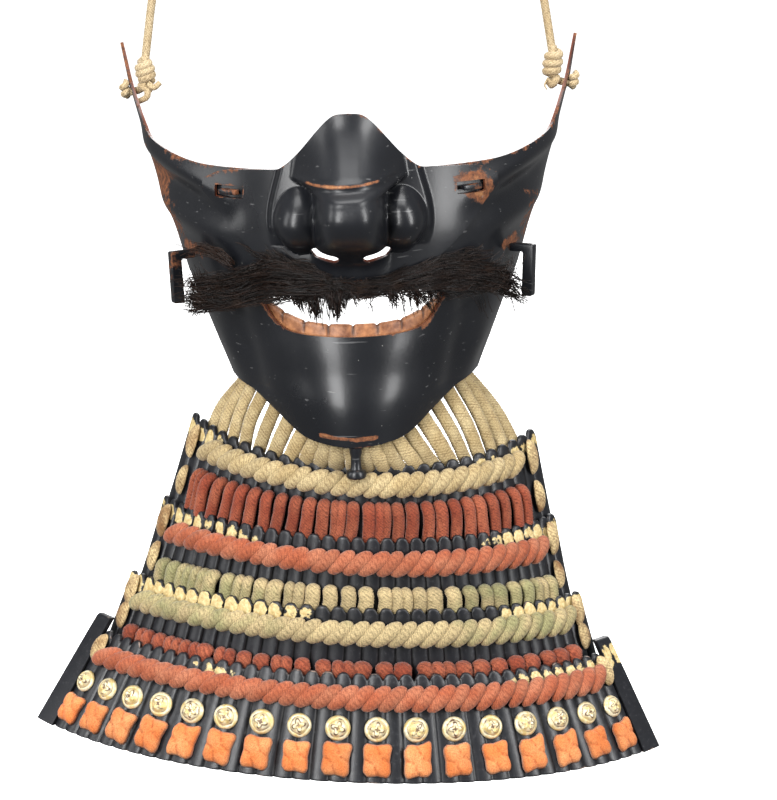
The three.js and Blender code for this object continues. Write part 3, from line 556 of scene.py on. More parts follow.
def hole_in_grid(x, z, outlines):
    """Fits a grid to the outlines of its holes: the moved grid and the cells that are left."""
    middle_x = (x[:-1, :-1] + x[1:, 1:] + x[:-1, 1:] + x[1:, :-1]) / 4
    middle_z = (z[:-1, :-1] + z[1:, 1:] + z[:-1, 1:] + z[1:, :-1]) / 4
    filled = ~snap_to(outlines, middle_x, middle_z)[0]
    _, near_x, near_z, _ = snap_to(outlines, x, z)
    padded = np.pad(filled, 1, constant_values=True)
    corners = [padded[:-1, :-1], padded[1:, :-1], padded[:-1, 1:], padded[1:, 1:]]
    edge = ~np.logical_and.reduce(corners) & np.logical_or.reduce(corners)
    return np.where(edge, near_x, x), np.where(edge, near_z, z), filled


def round_outline(points, count=12):
    """A smooth closed outline through the points."""
    points = np.asarray(points, float)
    p0, p1, p2, p3 = (np.roll(points, shift, axis=0) for shift in (1, 0, -1, -2))
    fine = []
    for k in range(len(points)):
        for t in np.linspace(0, 1, count, endpoint=False):
            fine.append(0.5 * (2 * p1[k] + (p2[k] - p0[k]) * t
                               + (2 * p0[k] - 5 * p1[k] + 4 * p2[k] - p3[k]) * t ** 2
                               + (3 * p1[k] - p0[k] - 3 * p2[k] + p3[k]) * t ** 3))
    return np.array(fine)


def edge_wear(x, z, outlines, near):
    """1 at an outline's edge, falling to 0 a few millimetres from it."""
    return np.clip(1 - snap_to(outlines, x, z)[3] / near, 0, 1)


shell_columns, shell_rows, flange_rows = 300, 112, 6
mouth_shares = [
    (-1, 0.1), (-0.75, 0.75), (-0.3, 1), (0.3, 1), (0.75, 0.75), (1, 0.1), (0.97, -0.3),
    (0.84, -0.75), (0.6, -0.97), (0, -1.02), (-0.6, -0.97), (-0.84, -0.75), (-0.97, -0.3)]
mouth_outline = round_outline([
    (x * MOUTH_HALF, z * (LIP_RISE if z > 0 else LIP_DROP)) for x, z in mouth_shares])
window_outline = [(-WINDOW_HALF, WINDOW_FOOT), (WINDOW_HALF, WINDOW_FOOT), (WINDOW_HALF, EAR_RISE),
                  (-WINDOW_HALF, EAR_RISE)]


def make_shell():
    share = np.linspace(-1, 1, shell_columns + 1)[None, :]
    low = height_of(read_table(jaw_edge, "turn", "height", np.abs(share)))
    high = height_of(read_table(rim_edge, "turn", "height", np.abs(share)))
    rise = np.linspace(0, 1, shell_rows + 1)[:, None]
    z = low + (high - low) * rise
    turn = share * read_table(wall_sections, "height", "rear", share_of(z))
    half = read_table(wall_sections, "height", "half", share_of(z)) * EAR_WIDTH / 2
    x = np.sign(turn) * half * np.sin(np.minimum(np.abs(turn), 1) * np.pi / 2)
    new_x, new_z, filled = hole_in_grid(x, z, [mouth_outline, window_outline])
    new_turn = np.where((new_x != x) | (new_z != z), turn_at(new_x, new_z), turn)
    wall = wall_face(new_turn, new_z)
    inset = np.linspace(JAW_FLANGE, 0, flange_rows, endpoint=False)[:, None]
    flange = wall_face(turn[:1], z[:1], -inset)
    front = np.vstack([flange, wall])
    filled = np.vstack([np.ones((flange_rows, shell_columns), bool), filled])
    back = front - grid_normals(front) * PLATE
    rim = np.clip(1 - (high - z) / 7.0, 0, 1)
    chin = 0.9 * np.exp(-((z - low - 3.6) / 1.1) ** 2) * np.clip((12.5 - np.abs(x + 3)) / 2, 0, 1)
    jaw = 0.45 * np.clip(1 - (z - low) / 1.5, 0, 1)
    rear = np.clip((np.abs(share) - 0.955) / 0.04, 0, 1) + 0 * z
    mouth = (0.35 + 0.35 * (np.abs(x) > 28)) * edge_wear(new_x, new_z, [mouth_outline], 2.5)
    side = 0.55 * swell(np.abs(x), z, 76, 22, 9, 26)
    hook = 0.8 * swell(np.abs(x), z, 66, 14, 7, 5)
    left = 0.8 * swell(x, z, -82, 42, 7, 17)
    wear = np.maximum.reduce([rim * 0.55, chin, jaw, rear, mouth, side, hook, left])
    wear = np.vstack([np.zeros((flange_rows, shell_columns + 1)), wear])
    points, faces, used = plate_from_grid(front, back, filled)
    wear = np.concatenate([wear.ravel(), 0.35 * np.ones(wear.size)])[used]
    inside = (used >= front.shape[0] * front.shape[1]).astype(float)
    marks = {"wear": wear, "inside": inside}
    shell = add_mesh("lacquered_mask_shell", place(points), faces, lacquer, marks)
    shell.data.set_sharp_from_angle(angle=SHARP_EDGE)
    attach(shell, "root")
    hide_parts("mask_shell")


make_shell()


# Nose plate
# The nose, its wings and the upper lip beaten from a second plate, which laps over the cheeks by
# two tabs. A slot in each tab takes a peg of the shell, and the nostrils are cut right through.
NOSE_REACH = 35.0
NOSE_HALF = 19.0
TAB_HALF = 57.5
NOSTRIL_LENGTH = 11.0
NOSTRIL_HEIGHT = 2.8
NOSTRIL_ASIDE = 9.6
NOSTRIL_UP = 19.4
NOSTRIL_TILT = 0.26
SLOT_LENGTH = 13.0
SLOT_HEIGHT = 5.0
WING_STAND = 14.5
WING_ASIDE = 18.5
WING_UP = 33.5
WING_HALF = 10.5
WING_RISE = 14.5
FLANK_HALF = 30.5
FLANK_STAND = 3.6
slot_middle = (TAB_HALF + WINDOW_HALF) / 2 + SLOT_LENGTH / 2
slot_rise = 0.56 * NOSE_TOP

nose_sections = {
    "height": (0.1, 0.19, 0.25, 0.33, 0.42, 0.53, 0.66, 0.79, 0.91, 1),
    "half": (0.7, 0.75, 0.8, 0.92, 1, 1, 0.86, 0.8, 0.72, 0.66),
    "reach": (0.03, 0.1, 0.3, 0.72, 0.94, 1, 0.78, 0.55, 0.36, 0.26),
}
nose_outline = {
    "across": (0, 0.09, 0.16, 0.33, 0.47, 0.6, 0.75, 0.9, 1),
    "top": (1, 0.99, 0.945, 0.79, 0.7, 0.687, 0.68, 0.665, 0.62),
    "foot": (0.1, 0.1, 0.105, 0.115, 0.15, 0.22, 0.33, 0.45, 0.55),
}


def blend(first, second, soft):
    """The higher of two heights, with a soft fillet where they meet."""
    soft = soft * np.clip(np.minimum(first, second) / 4, 0, 1) + 1e-6
    share = np.clip(0.5 + 0.5 * (first - second) / soft, 0, 1)
    return second + (first - second) * share + soft * share * (1 - share)


def crease_height(x):
    """The height of the crease above the nose's tip."""
    return 50.2 + 0.07 * x + 0.004 * x ** 2


def nose_stand(x, z):
    """How far the nose and its wings stand out of the nose plate."""
    side = np.abs(x)
    reach = read_table(nose_sections, "height", "reach", z / NOSE_TOP) * NOSE_REACH
    low = np.clip((z - 44) / 8, 0, 1)
    width = 16.0 + 12.0 * low * low * (3 - 2 * low)
    bridge = reach * (0.5 + 0.5 * np.cos(np.pi * np.minimum(side / width, 1) ** (1.75 - 0.72 * low)))
    spread = ((side - WING_ASIDE) / WING_HALF) ** 2 + ((z - WING_UP) / WING_RISE) ** 2
    wing = WING_STAND * np.maximum(1 - spread, 0) ** 0.8
    outer = FLANK_HALF + 2.2 * np.cos((z - 34) / 9.0)
    step = np.clip((outer - side) / 4.0, 0, 1)
    flank = FLANK_STAND * step * step * (3 - 2 * step) * np.clip((z - 22) / 8, 0, 1)
    above = z - crease_height(x)
    crease = np.clip((18 - side) / 5, 0, 1) * (
        0.7 * np.exp(-((above - 1.2) / 1.2) ** 2) - 1.7 * np.exp(-((above + 1.7) / 1.5) ** 2)
        + 0.5 * np.exp(-((above + 4.8) / 1.1) ** 2))
    return blend(blend(bridge, flank, 1.5), wing, 4.0) + crease


def nose_face(x, z, stand=0.0):
    return wall_face(turn_at(x, z), z, LAP_GAP + PLATE + nose_stand(x, z) + stand)


def nostril_outline(side):
    """A short slot with round ends that rises outward."""
    angle = np.linspace(0, 2 * np.pi, 48, endpoint=False)
    half, radius = NOSTRIL_LENGTH / 2 - 2.1, NOSTRIL_HEIGHT / 2 + 0.8
    cos, sin = math.cos(NOSTRIL_TILT), math.sin(NOSTRIL_TILT)
    along = half * np.sign(np.cos(angle)) * (np.abs(np.cos(angle)) > 1e-9) + radius * np.cos(angle)
    up = radius * np.sin(angle)
    return np.column_stack([side * (NOSTRIL_ASIDE + along * cos - up * sin),
                            NOSTRIL_UP + along * sin + up * cos])


def slot_outline(side):
    half, tall = SLOT_LENGTH / 2 * 0.82, SLOT_HEIGHT / 2
    corners = [(-half, -tall), (half, -tall), (half, tall), (-half, tall)]
    return [(side * (slot_middle + x), slot_rise + z) for x, z in corners]


nose_columns, nose_rows = 250, 130
nose_holes = [nostril_outline(-1), nostril_outline(1), slot_outline(-1), slot_outline(1)]


def make_nose_plate():
    across = np.linspace(-1, 1, nose_columns + 1)[None, :]
    top = read_table(nose_outline, "across", "top", np.abs(across)) * NOSE_TOP
    foot = read_table(nose_outline, "across", "foot", np.abs(across)) * NOSE_TOP
    rise = np.linspace(0, 1, nose_rows + 1)[:, None]
    z = foot + (top - foot) * rise
    x = across * TAB_HALF + 0 * z
    new_x, new_z, filled = hole_in_grid(x, z, nose_holes)
    front = nose_face(new_x, new_z)
    back = front - grid_normals(front) * PLATE
    rim = 0.45 * np.clip(1 - (top - z) / 4.0, 0, 1)
    lip = 0.9 * np.clip(1 - (z - foot) / 2.2, 0, 1) * np.clip(1 - np.abs(x) / 30, 0, 1)
    crease = np.exp(-((z - crease_height(x) - 0.6) / 0.7) ** 2)
    crease = crease * np.clip((13.5 - np.abs(x + 2.5)) / 2, 0, 1)
    right_tab = 0.85 * swell(x, z, 46, 46, 9, 7) + 0.5 * swell(x, z, 51, 38, 5, 6)
    left_slot = 0.5 * edge_wear(x, z, nose_holes[2:3], 2.0)
    ends = 0.4 * np.clip((np.abs(across) - 0.96) / 0.04, 0, 1) + 0 * z
    wear = np.maximum.reduce([rim, lip, crease, right_tab, left_slot, ends])
    points, faces, used = plate_from_grid(front, back, filled)
    wear = np.concatenate([wear.ravel(), 0.2 * np.ones(wear.size)])[used]
    inside = (used >= front.shape[0] * front.shape[1]).astype(float)
    marks = {"wear": wear, "inside": inside}
    plate = add_mesh("lacquered_nose_plate", place(points), faces, lacquer, marks)
    plate.data.set_sharp_from_angle(angle=SHARP_EDGE)
    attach(plate, "root")
    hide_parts("nose_plate")


make_nose_plate()


# Pegs, cheek hooks and drain tube
# Small forged iron pieces riveted to the shell and lacquered with it. Their corners are filed
# round. The tube drains sweat from the chin.
hook_wear = {"left": 0.45, "right": 0.2}
# radius and height of each step of the tube, from its foot up the outside and down the bore
tube_profile = [(1.7, 0), (3.6, 0), (4.1, 0.5), (4.2, 2.2), (3.7, 3.2), (2.5, 3.8), (2.2, 4.6),
                (2.1, 9), (2.6, 11), (2.7, 13), (1.6, 13), (1.4, 4)]
TUBE_DROP = 13.3
TUBE_INSET = 3.1


def jaw_underside(share, inset):
    """A point of the flange that is turned in along the jaw."""
    z = height_of(read_table(jaw_edge, "turn", "height", np.abs(share)))
    turn = share * read_table(wall_sections, "height", "rear", share_of(z))
    return wall_face(turn, z, -inset)


def soften(node, name, radius, material, wear):
    """A copy of a solid with its corners rounded, in place of it."""
    mesh = frame["nodes"][node].data.copy()
    mesh.name = name
    piece = bpy.data.objects.new(name, mesh)
    bpy.context.scene.collection.objects.link(piece)
    weld = piece.modifiers.new("weld", "WELD")
    weld.merge_threshold = 0.00002
    bevel = piece.modifiers.new("round", "BEVEL")
    bevel.width = radius * MILLIMETRE
    bevel.segments = 3
    bevel.limit_method = "ANGLE"
    depsgraph = bpy.context.evaluated_depsgraph_get()
    final = bpy.data.meshes.new_from_object(piece.evaluated_get(depsgraph))
    piece.modifiers.clear()
    piece.data = final
    final.materials.clear()
    final.materials.append(material)
    attribute = final.attributes.new("wear", "FLOAT", "POINT")
    attribute.data.foreach_set("value", np.full(len(final.vertices), wear, np.float32))
    final.shade_smooth()
    final.set_sharp_from_angle(angle=math.radians(40))
    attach(piece, "root")
    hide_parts(node)


for side in ("left", "right"):
    soften(f"nose_peg_{side}", f"lacquered_nose_peg_{side}", 0.4, lacquer, 0.5)
    soften(f"cheek_hook_{side}", f"lacquered_cheek_hook_{side}", 0.7, lacquer, hook_wear[side])


def ring_faces(rings, around, first=0, closed=False):
    """Quads between rings of points. first is the number of the first ring's first point."""
    faces = []
    for row in range(rings if closed else rings - 1):
        low, high = first + row * around, first + (row + 1) % rings * around
        for k in range(around):
            after = (k + 1) % around
            faces.append([low + k, low + after, high + after, high + k])
    return faces


def make_drain_tube():
    """A turned tube with a bead at its foot."""
    around = 40
    angle = np.linspace(0, 2 * np.pi, around, endpoint=False)
    middle_y = jaw_underside(0, TUBE_INSET)[1]
    foot = -CHIN_DROP - TUBE_DROP
    points = [(r * math.cos(a), middle_y + r * math.sin(a), foot + z)
              for r, z in tube_profile for a in angle]
    faces = ring_faces(len(tube_profile), around, closed=True)
    wear = np.repeat([0.4 if 0 < z < 4 else 0.2 for _, z in tube_profile], around)
    tube = add_mesh("lacquered_drain_tube", place(points), faces, lacquer, {"wear": wear})
    tube.data.set_sharp_from_angle(angle=math.radians(40))
    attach(tube, "root")
    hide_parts("drain_tube")


make_drain_tube()


# Teeth band
# A strip of iron behind the lower lip, embossed into teeth and lacquered brown, now worn to a
# coppery ground.
TOOTH_COUNT = 8
TOOTH_HEIGHT = 5.0
TOOTH_THICKNESS = 2.0
TOOTH_ROOT = 4.0
TOOTH_CORNER_RISE = 11.5


def tooth_finish():
    material, shader, add, link = new_finish("tooth_lacquer")
    where = add("TexCoord").outputs["Object"]
    groove = add("Attribute", {"attribute_name": "groove"}).outputs["Fac"]
    blotch = add("TexNoise", Vector=where, Scale=240.0, Detail=6.0, Roughness=0.65).outputs["Fac"]
    pale = ramp(add, blotch, (0.35, 0), (0.65, 1))
    colour = mix_colour(add, pale, (0.16, 0.055, 0.022, 1), (0.46, 0.20, 0.085, 1))
    colour = mix_colour(add, groove, colour, (0.06, 0.022, 0.012, 1))
    link(colour, "Base Color")
    link(add("Bump", Strength=0.2, Distance=0.0003, Height=blotch).outputs[0], "Normal")
    shader.inputs["Roughness"].default_value = 0.45
    return material


def make_teeth():
    columns, rows = 240, 20
    across = np.linspace(-1, 1, columns + 1)[None, :]
    rise = np.linspace(0, 1, rows + 1)[:, None]
    tooth = (np.arcsin(across) / np.pi + 0.5) * (TOOTH_COUNT + 2)
    seam = np.exp(-((tooth - np.round(tooth)) / 0.06) ** 2)
    lip = -LIP_DROP + TOOTH_CORNER_RISE * np.abs(across) ** 4.5
    top = lip + TOOTH_HEIGHT - 0.7 - 0.6 * seam - 0.35 * (2 * (tooth % 1) - 1) ** 4 - 1.5 * across ** 8
    foot = lip - TOOTH_ROOT
    z = foot + (top - foot) * rise
    bulge = 0.35 * np.sin(np.pi * (tooth % 1)) ** 0.7 * np.clip(rise * 2, 0, 1) - 0.25 * seam
    round_top = 0.6 * np.clip((rise - 0.8) / 0.2, 0, 1) ** 2
    x = across * (0.94 + 0.11 * across ** 2) * MOUTH_HALF
    stand = -PLATE - 2 * LAP_GAP * (1 - 0.6 * across ** 2) + bulge * (1 - across ** 2) - round_top
    front = wall_face(turn_at(x + 0 * z, z), z, stand)
    back = wall_face(turn_at(x + 0 * z, z), z, -PLATE - 2 * LAP_GAP - TOOTH_THICKNESS + round_top)
    points, faces, used = plate_from_grid(front, back, np.ones((rows, columns), bool))
    groove = np.tile((seam * np.clip(rise * 3 - 1, 0, 1)).ravel(), 2)[used]
    teeth = add_mesh("lacquered_teeth", place(points), faces, tooth_finish(), {"groove": groove})
    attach(teeth, "root")
    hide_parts("teeth_band")


make_teeth()


# Moustache
# Dark horsehair, knotted through the upper lip and combed outward. The left half is a thick tuft,
# the right half thinner, and short spiky hairs stand down over the mouth.
HAIR_SEED = 5
HAIR_JOINTS = 8
HAIR_THICKNESS = 0.13
HAIR_FRIZZ = 2.6
left_half = [(-8, 5, 11), (-20, 2, 15), (-32, 0.5, 15.5), (-42, -1, 11.5), (-53, -5, 7),
             (-63, -8, 5), (-70, -10, 5)]
right_half = [(2, 4, 9), (14, 3, 10), (26, 2.5, 12.5), (38, 2, 14.5), (50, 1, 12.5),
              (61, -3, 10), (69, -8, 8)]
# hairs, locks, spine, where along it they start, their length, fray, layer and lighter tone
tufts = [
    (1050, 60, left_half, (0.0, 0.6), (0.25, 0.5), 0.12, (0.5, 6.5), 0.0),
    (260, 30, left_half, (0.60, 0.82), (0.12, 0.2), 0.25, (1.0, 5.5), 0.0),
    (170, 26, [(-12, 9, 14), (-22, 11, 16), (-32, 13, 20), (-42, 15, 24)],
     (0.1, 0.6), (0.25, 0.5), 0.25, (0.6, 3.5), 0.0),
    (90, 12, [(-48, 10, 14), (-54, 13, 18), (-62, 16, 21), (-70, 13, 20)],
     (0.0, 0.3), (0.5, 0.9), 0.2, (0.5, 2.5), 0.5),
    (700, 55, right_half, (0.0, 0.66), (0.25, 0.45), 0.14, (0.5, 5.0), 0.0),
    (240, 34, right_half, (0.60, 0.86), (0.1, 0.2), 0.35, (0.8, 4.5), 0.0),
    (80, 24, [(20, 8, 11), (34, 12, 16), (50, 11, 17), (66, 9, 18)],
     (0.1, 0.7), (0.15, 0.35), 0.25, (0.5, 3.0), 0.0),
    (200, 30, [(-20, 8, 3), (-12, 5, 2), (4, 6, 2), (18, 6, 1)],
     (0.0, 0.8), (0.1, 0.3), 0.3, (0.8, 4.0), 0.0),
    (220, 24, [(-16, 4, 11), (-7, 2.5, 9), (2, 2, 8), (12, 2.5, 8.5)],
     (0.0, 0.5), (0.3, 0.7), 0.25, (0.5, 3.5), 0.0),
]
# spikes over the mouth: their count, hairs in each, from and to, foot, lean and width
spikes = [
    (26, 34, -24, -1, -8.5, 1.0, 3.6),
    (5, 10, -2, 12, -3, 2.0, 1.6),
    (21, 15, 12, 37, -7.5, 5.5, 1.6),
]


def nodes_tree(name, sockets):
    """A geometry tree with named inputs, and a short way to add nodes to it."""
    tree = bpy.data.node_groups.new(name, "GeometryNodeTree")
    tree.interface.new_socket("Geometry", in_out="INPUT", socket_type="NodeSocketGeometry")
    for socket, kind in sockets.items():
        tree.interface.new_socket(socket, in_out="INPUT", socket_type="NodeSocket" + kind)
    tree.interface.new_socket("Geometry", in_out="OUTPUT", socket_type="NodeSocketGeometry")
    entry = tree.nodes.new("NodeGroupInput")
    leave = tree.nodes.new("NodeGroupOutput")
    return tree, entry.outputs, leave.inputs, node_adder(tree)


def bake_nodes(guide, tree, values):
    """Runs a tree on a guide object and turns the result into the object's own plain mesh."""
    modifier = guide.modifiers.new(tree.name, "NODES")
    modifier.node_group = tree
    for item in tree.interface.items_tree:
        if item.in_out == "INPUT" and item.name in values:
            modifier[item.identifier] = values[item.name]
    depsgraph = bpy.context.evaluated_depsgraph_get()
    mesh = bpy.data.meshes.new_from_object(guide.evaluated_get(depsgraph))
    guide.modifiers.clear()
    guide.data = mesh
    mesh.name = guide.name
    return guide


def hair_tree():
    """Hairs: a thin tapering stalk along each guide line."""
    tree, entry, leave, add = nodes_tree("hairs along their guides", {
        "Thickness": "Float", "Frizz": "Float", "Seed": "Int", "Material": "Material"})
    radius = add("GeometryNodeInputNamedAttribute", {"data_type": "FLOAT"}, Name="taper").outputs[0]
    curve = add("GeometryNodeMeshToCurve", Mesh=entry["Geometry"]).outputs[0]
    where = add("GeometryNodeInputPosition").outputs[0]
    wave = add("ShaderNodeTexNoise", {"noise_dimensions": "4D"},
               Vector=where, Scale=160.0, W=entry["Seed"]).outputs["Color"]
    centred = add("ShaderNodeVectorMath", {"operation": "SUBTRACT"}, i0=wave, i1=(0.5, 0.5, 0.5)).outputs[0]
    shift = add("ShaderNodeVectorMath", {"operation": "SCALE"}, i0=centred, Scale=entry["Frizz"]).outputs[0]
    moved = add("GeometryNodeSetPosition", Geometry=curve, Offset=shift).outputs[0]
    sized = add("GeometryNodeSetCurveRadius", Curve=moved, Radius=radius).outputs[0]
    section = add("GeometryNodeCurvePrimitiveCircle", Resolution=3, Radius=entry["Thickness"]).outputs[0]
    stalks = add("GeometryNodeCurveToMesh", Curve=sized, Profile_Curve=section, Fill_Caps=True).outputs[0]
    real = add("GeometryNodeRealizeInstances", Geometry=stalks).outputs[0]
    painted = add("GeometryNodeSetMaterial", Geometry=real, Material=entry["Material"]).outputs[0]
    tree.links.new(painted, leave["Geometry"])
    return tree


def hair_finish():
    material, shader, add, link = new_finish("hair")
    where = add("TexCoord").outputs["Object"]
    tone = add("Attribute", {"attribute_name": "tone"}).outputs["Fac"]
    patch = add("TexNoise", Vector=where, Scale=130.0, Detail=3.0).outputs["Fac"]
    colour = mix_colour(add, tone, (0.0035, 0.0024, 0.002, 1), (0.022, 0.010, 0.006, 1))
    colour = mix_colour(add, ramp(add, patch, (0.55, 0), (0.75, 0.5)), colour, (0.035, 0.018, 0.010, 1))
    link(colour, "Base Color")
    shader.inputs["Roughness"].default_value = 0.42
    shader.inputs["Specular IOR Level"].default_value = 0.35
    return material


def make_moustache():
    chance = np.random.default_rng(HAIR_SEED)
    points, edges, taper, tone = [], [], [], []
    run = np.linspace(0, 1, HAIR_JOINTS)

    def tuft(count, locks, spine, start, length, fray, layer, light, wide=0.0):
        """Hairs along a spine of (x, foot, head), gathered into locks that come to a point."""
        spine = np.array(spine, float)
        stations = np.linspace(0, 1, len(spine))
        lanes = chance.random(locks)
        starts, lengths = chance.uniform(*start, locks), chance.uniform(*length, locks)
        drifts, bends = chance.normal(0, fray, locks), chance.normal(0, 0.1, locks)
        depths = chance.uniform(*layer, locks)
        for _ in range(count):
            lock = chance.integers(locks)
            at = starts[lock] + chance.normal(0, 0.05) + lengths[lock] * chance.uniform(0.7, 1.1) * run
            lane = lanes[lock] + chance.normal(0, 0.13) * (1 - 0.6 * run)
            lane = lane + bends[lock] * np.sin(np.pi * run)
            lane = lane + (drifts[lock] + chance.normal(0, 0.5 * fray)) * run ** 2.5
            over = np.maximum(at - 1, 0)[:, None] * (spine[-1] - spine[-2]) / stations[1]
            x, foot, head = np.array([np.interp(at, stations, column) for column in spine.T]) + over.T
            z = foot + (head - foot) * lane
            x = x + wide * chance.normal(0, 0.5) * (1 - 0.75 * run)
            depth = depths[lock] + chance.normal(0, 0.6)
            near = nose_face(np.clip(x, -36, 36), np.clip(z, 8.5, 40), 0.0)[..., 1]
            fall = 0.62 * np.maximum(np.abs(x) - 34, 0)
            arch = np.sin(np.pi * np.clip(run * 0.8 + 0.1, 0, 1)) ** 0.6
            y = near - np.maximum(depth, 0.4) * arch + fall - 0.3
            begin = HAIR_JOINTS * len(points)
            points.append(np.column_stack([x, y, z]))
            edges.extend((begin + k, begin + k + 1) for k in range(HAIR_JOINTS - 1))
            taper.append((1 - run ** 2.5) * chance.uniform(0.7, 1.2) + 0.05)
            tone.append(np.full(HAIR_JOINTS, min(chance.random() ** 2 + light, 1)))

    for settings in tufts:
        tuft(*settings)
    for locks, hairs, low_x, high_x, deep, lean, wide in spikes:
        for _ in range(locks):
            middle = chance.uniform(low_x, high_x)
            belly = 1 - 0.6 * (2 * (middle - low_x) / (high_x - low_x) - 1) ** 2
            reach = deep * belly * chance.uniform(0.55, 1.0)
            slant = lean * chance.uniform(-0.3, 1.6)
            spine = [(middle, 2, 9), (middle + slant / 2, -1, 4), (middle + slant, reach, reach + 5)]
            tuft(hairs, 4, spine, (0.0, 0.35), (0.6, 1.0), 0.35, (0.5, 4.5), 0.0, wide)

    guide = bpy.data.meshes.new("hair guides")
    guide.from_pydata(place(np.vstack(points)).tolist(), edges, [])
    for mark, values in (("taper", taper), ("tone", tone)):
        attribute = guide.attributes.new(mark, "FLOAT", "POINT")
        attribute.data.foreach_set("value", np.concatenate(values).astype(np.float32))
    moustache = bpy.data.objects.new("horsehair_moustache", guide)
    bpy.context.scene.collection.objects.link(moustache)
    bake_nodes(moustache, hair_tree(), {
        "Thickness": HAIR_THICKNESS * MILLIMETRE, "Frizz": HAIR_FRIZZ * MILLIMETRE,
        "Seed": HAIR_SEED, "Material": hair_finish()})
    moustache.data.shade_smooth()
    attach(moustache, "root")
    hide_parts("moustache")


make_moustache()


# Lames of the throat guard
# Four curved iron plates, each built up in lacquer to look like a row of narrow scales. Their tops
# are cut into rounded heads, some of them gilded, and each plate laps over the one above.
GUARD_TURN = math.radians(4)
CHIN = np.array([0.0, -MASK_DEPTH, -CHIN_DROP])
SWEEP = math.radians(60)
GUARD_TOP = 71.0
GUARD_HEIGHT = 125.6
GUARD_SHIFT = 3.2
LAME_PLATE = 1.5
LAME_TUCK = 6.5
LAME_OVERLAP = 8.0
head_counts = (27, 33, 35, 38)
HEAD_DIP = 2.4
PANEL_RISE = 5.5
PLAIN_FROM = 0.92
guard_half = (71.0, 132.0)
guard_front = (88.0, 124.0)
guard_end = (35.0, 74.0)
# each lame's top and how far its ends are lifted, then the hem's: shares of GUARD_HEIGHT
lames = {
    "top": (0, 0.228, 0.45, 0.656, 1),
    "lift": (0.06, 0.008, -0.022, 0.004, 0.042),
}
LAST = 3
lame_spans = (1.035, 0.99, 0.98, 1.0)
# gilding of each lame's heads: its strength, and where along the lame it begins and is full
gilding = (
    ((0.80, -0.62, -0.75), (0.60, 0.30, 0.60)),
    ((0.80, -0.30, -0.55), (0.75, 0.40, 0.62)),
    ((1.05, 0.02, -0.35), (0.85, 0.38, 0.60)),
    ((0.78, 0.38, 0.55),),
)


def guard_frame(across, drop):
    """A point of the guard's surface from the chin, and its level outward direction."""
    across, drop = np.broadcast_arrays(np.asarray(across, float), np.asarray(drop, float))
    half, front, end = (low + (high - low) * drop for low, high in (guard_half, guard_front, guard_end))
    angle = across * SWEEP
    flat = 1 - math.cos(SWEEP)
    bow = (np.cos(angle) - math.cos(SWEEP)) / flat
    x = half * np.sin(angle) / math.sin(SWEEP)
    y = -(end + (front - end) * bow)
    lift = read_table(lames, "top", "lift", drop) * GUARD_HEIGHT * (1 - bow)
    out = np.stack([(front - end) * np.sin(angle) / flat,
                    -half * np.cos(angle) / math.sin(SWEEP), 0 * x], -1)
    out /= np.linalg.norm(out, axis=-1, keepdims=True)
    point = np.stack([x + GUARD_SHIFT, y, -GUARD_TOP - drop * GUARD_HEIGHT + lift], -1) - CHIN
    return point, out


def lame_face(index, across, drop, stand=0.0):
    point, out = guard_frame(across, drop)
    point[..., 0] *= lame_spans[index]
    tuck = 0
    if index < LAST:
        top, following = lames["top"][index:index + 2]
        tuck = LAME_TUCK * (np.asarray(drop) - top) / (following - top)
    return point + out * np.broadcast_to(stand - tuck, out.shape[:-1])[..., None]


def turn_guard(vectors):
    vectors = np.asarray(vectors, float)
    cos, sin = math.cos(GUARD_TURN), math.sin(GUARD_TURN)
    x, y, z = vectors[..., 0], vectors[..., 1], vectors[..., 2]
    return np.stack([x * cos + z * sin, y, z * cos - x * sin], -1)


def place_guard(points):
    return place(turn_guard(points) + CHIN)


def lame_foot(index):
    return lames["top"][index + 1] + LAME_OVERLAP / GUARD_HEIGHT if index < LAST else 1.0


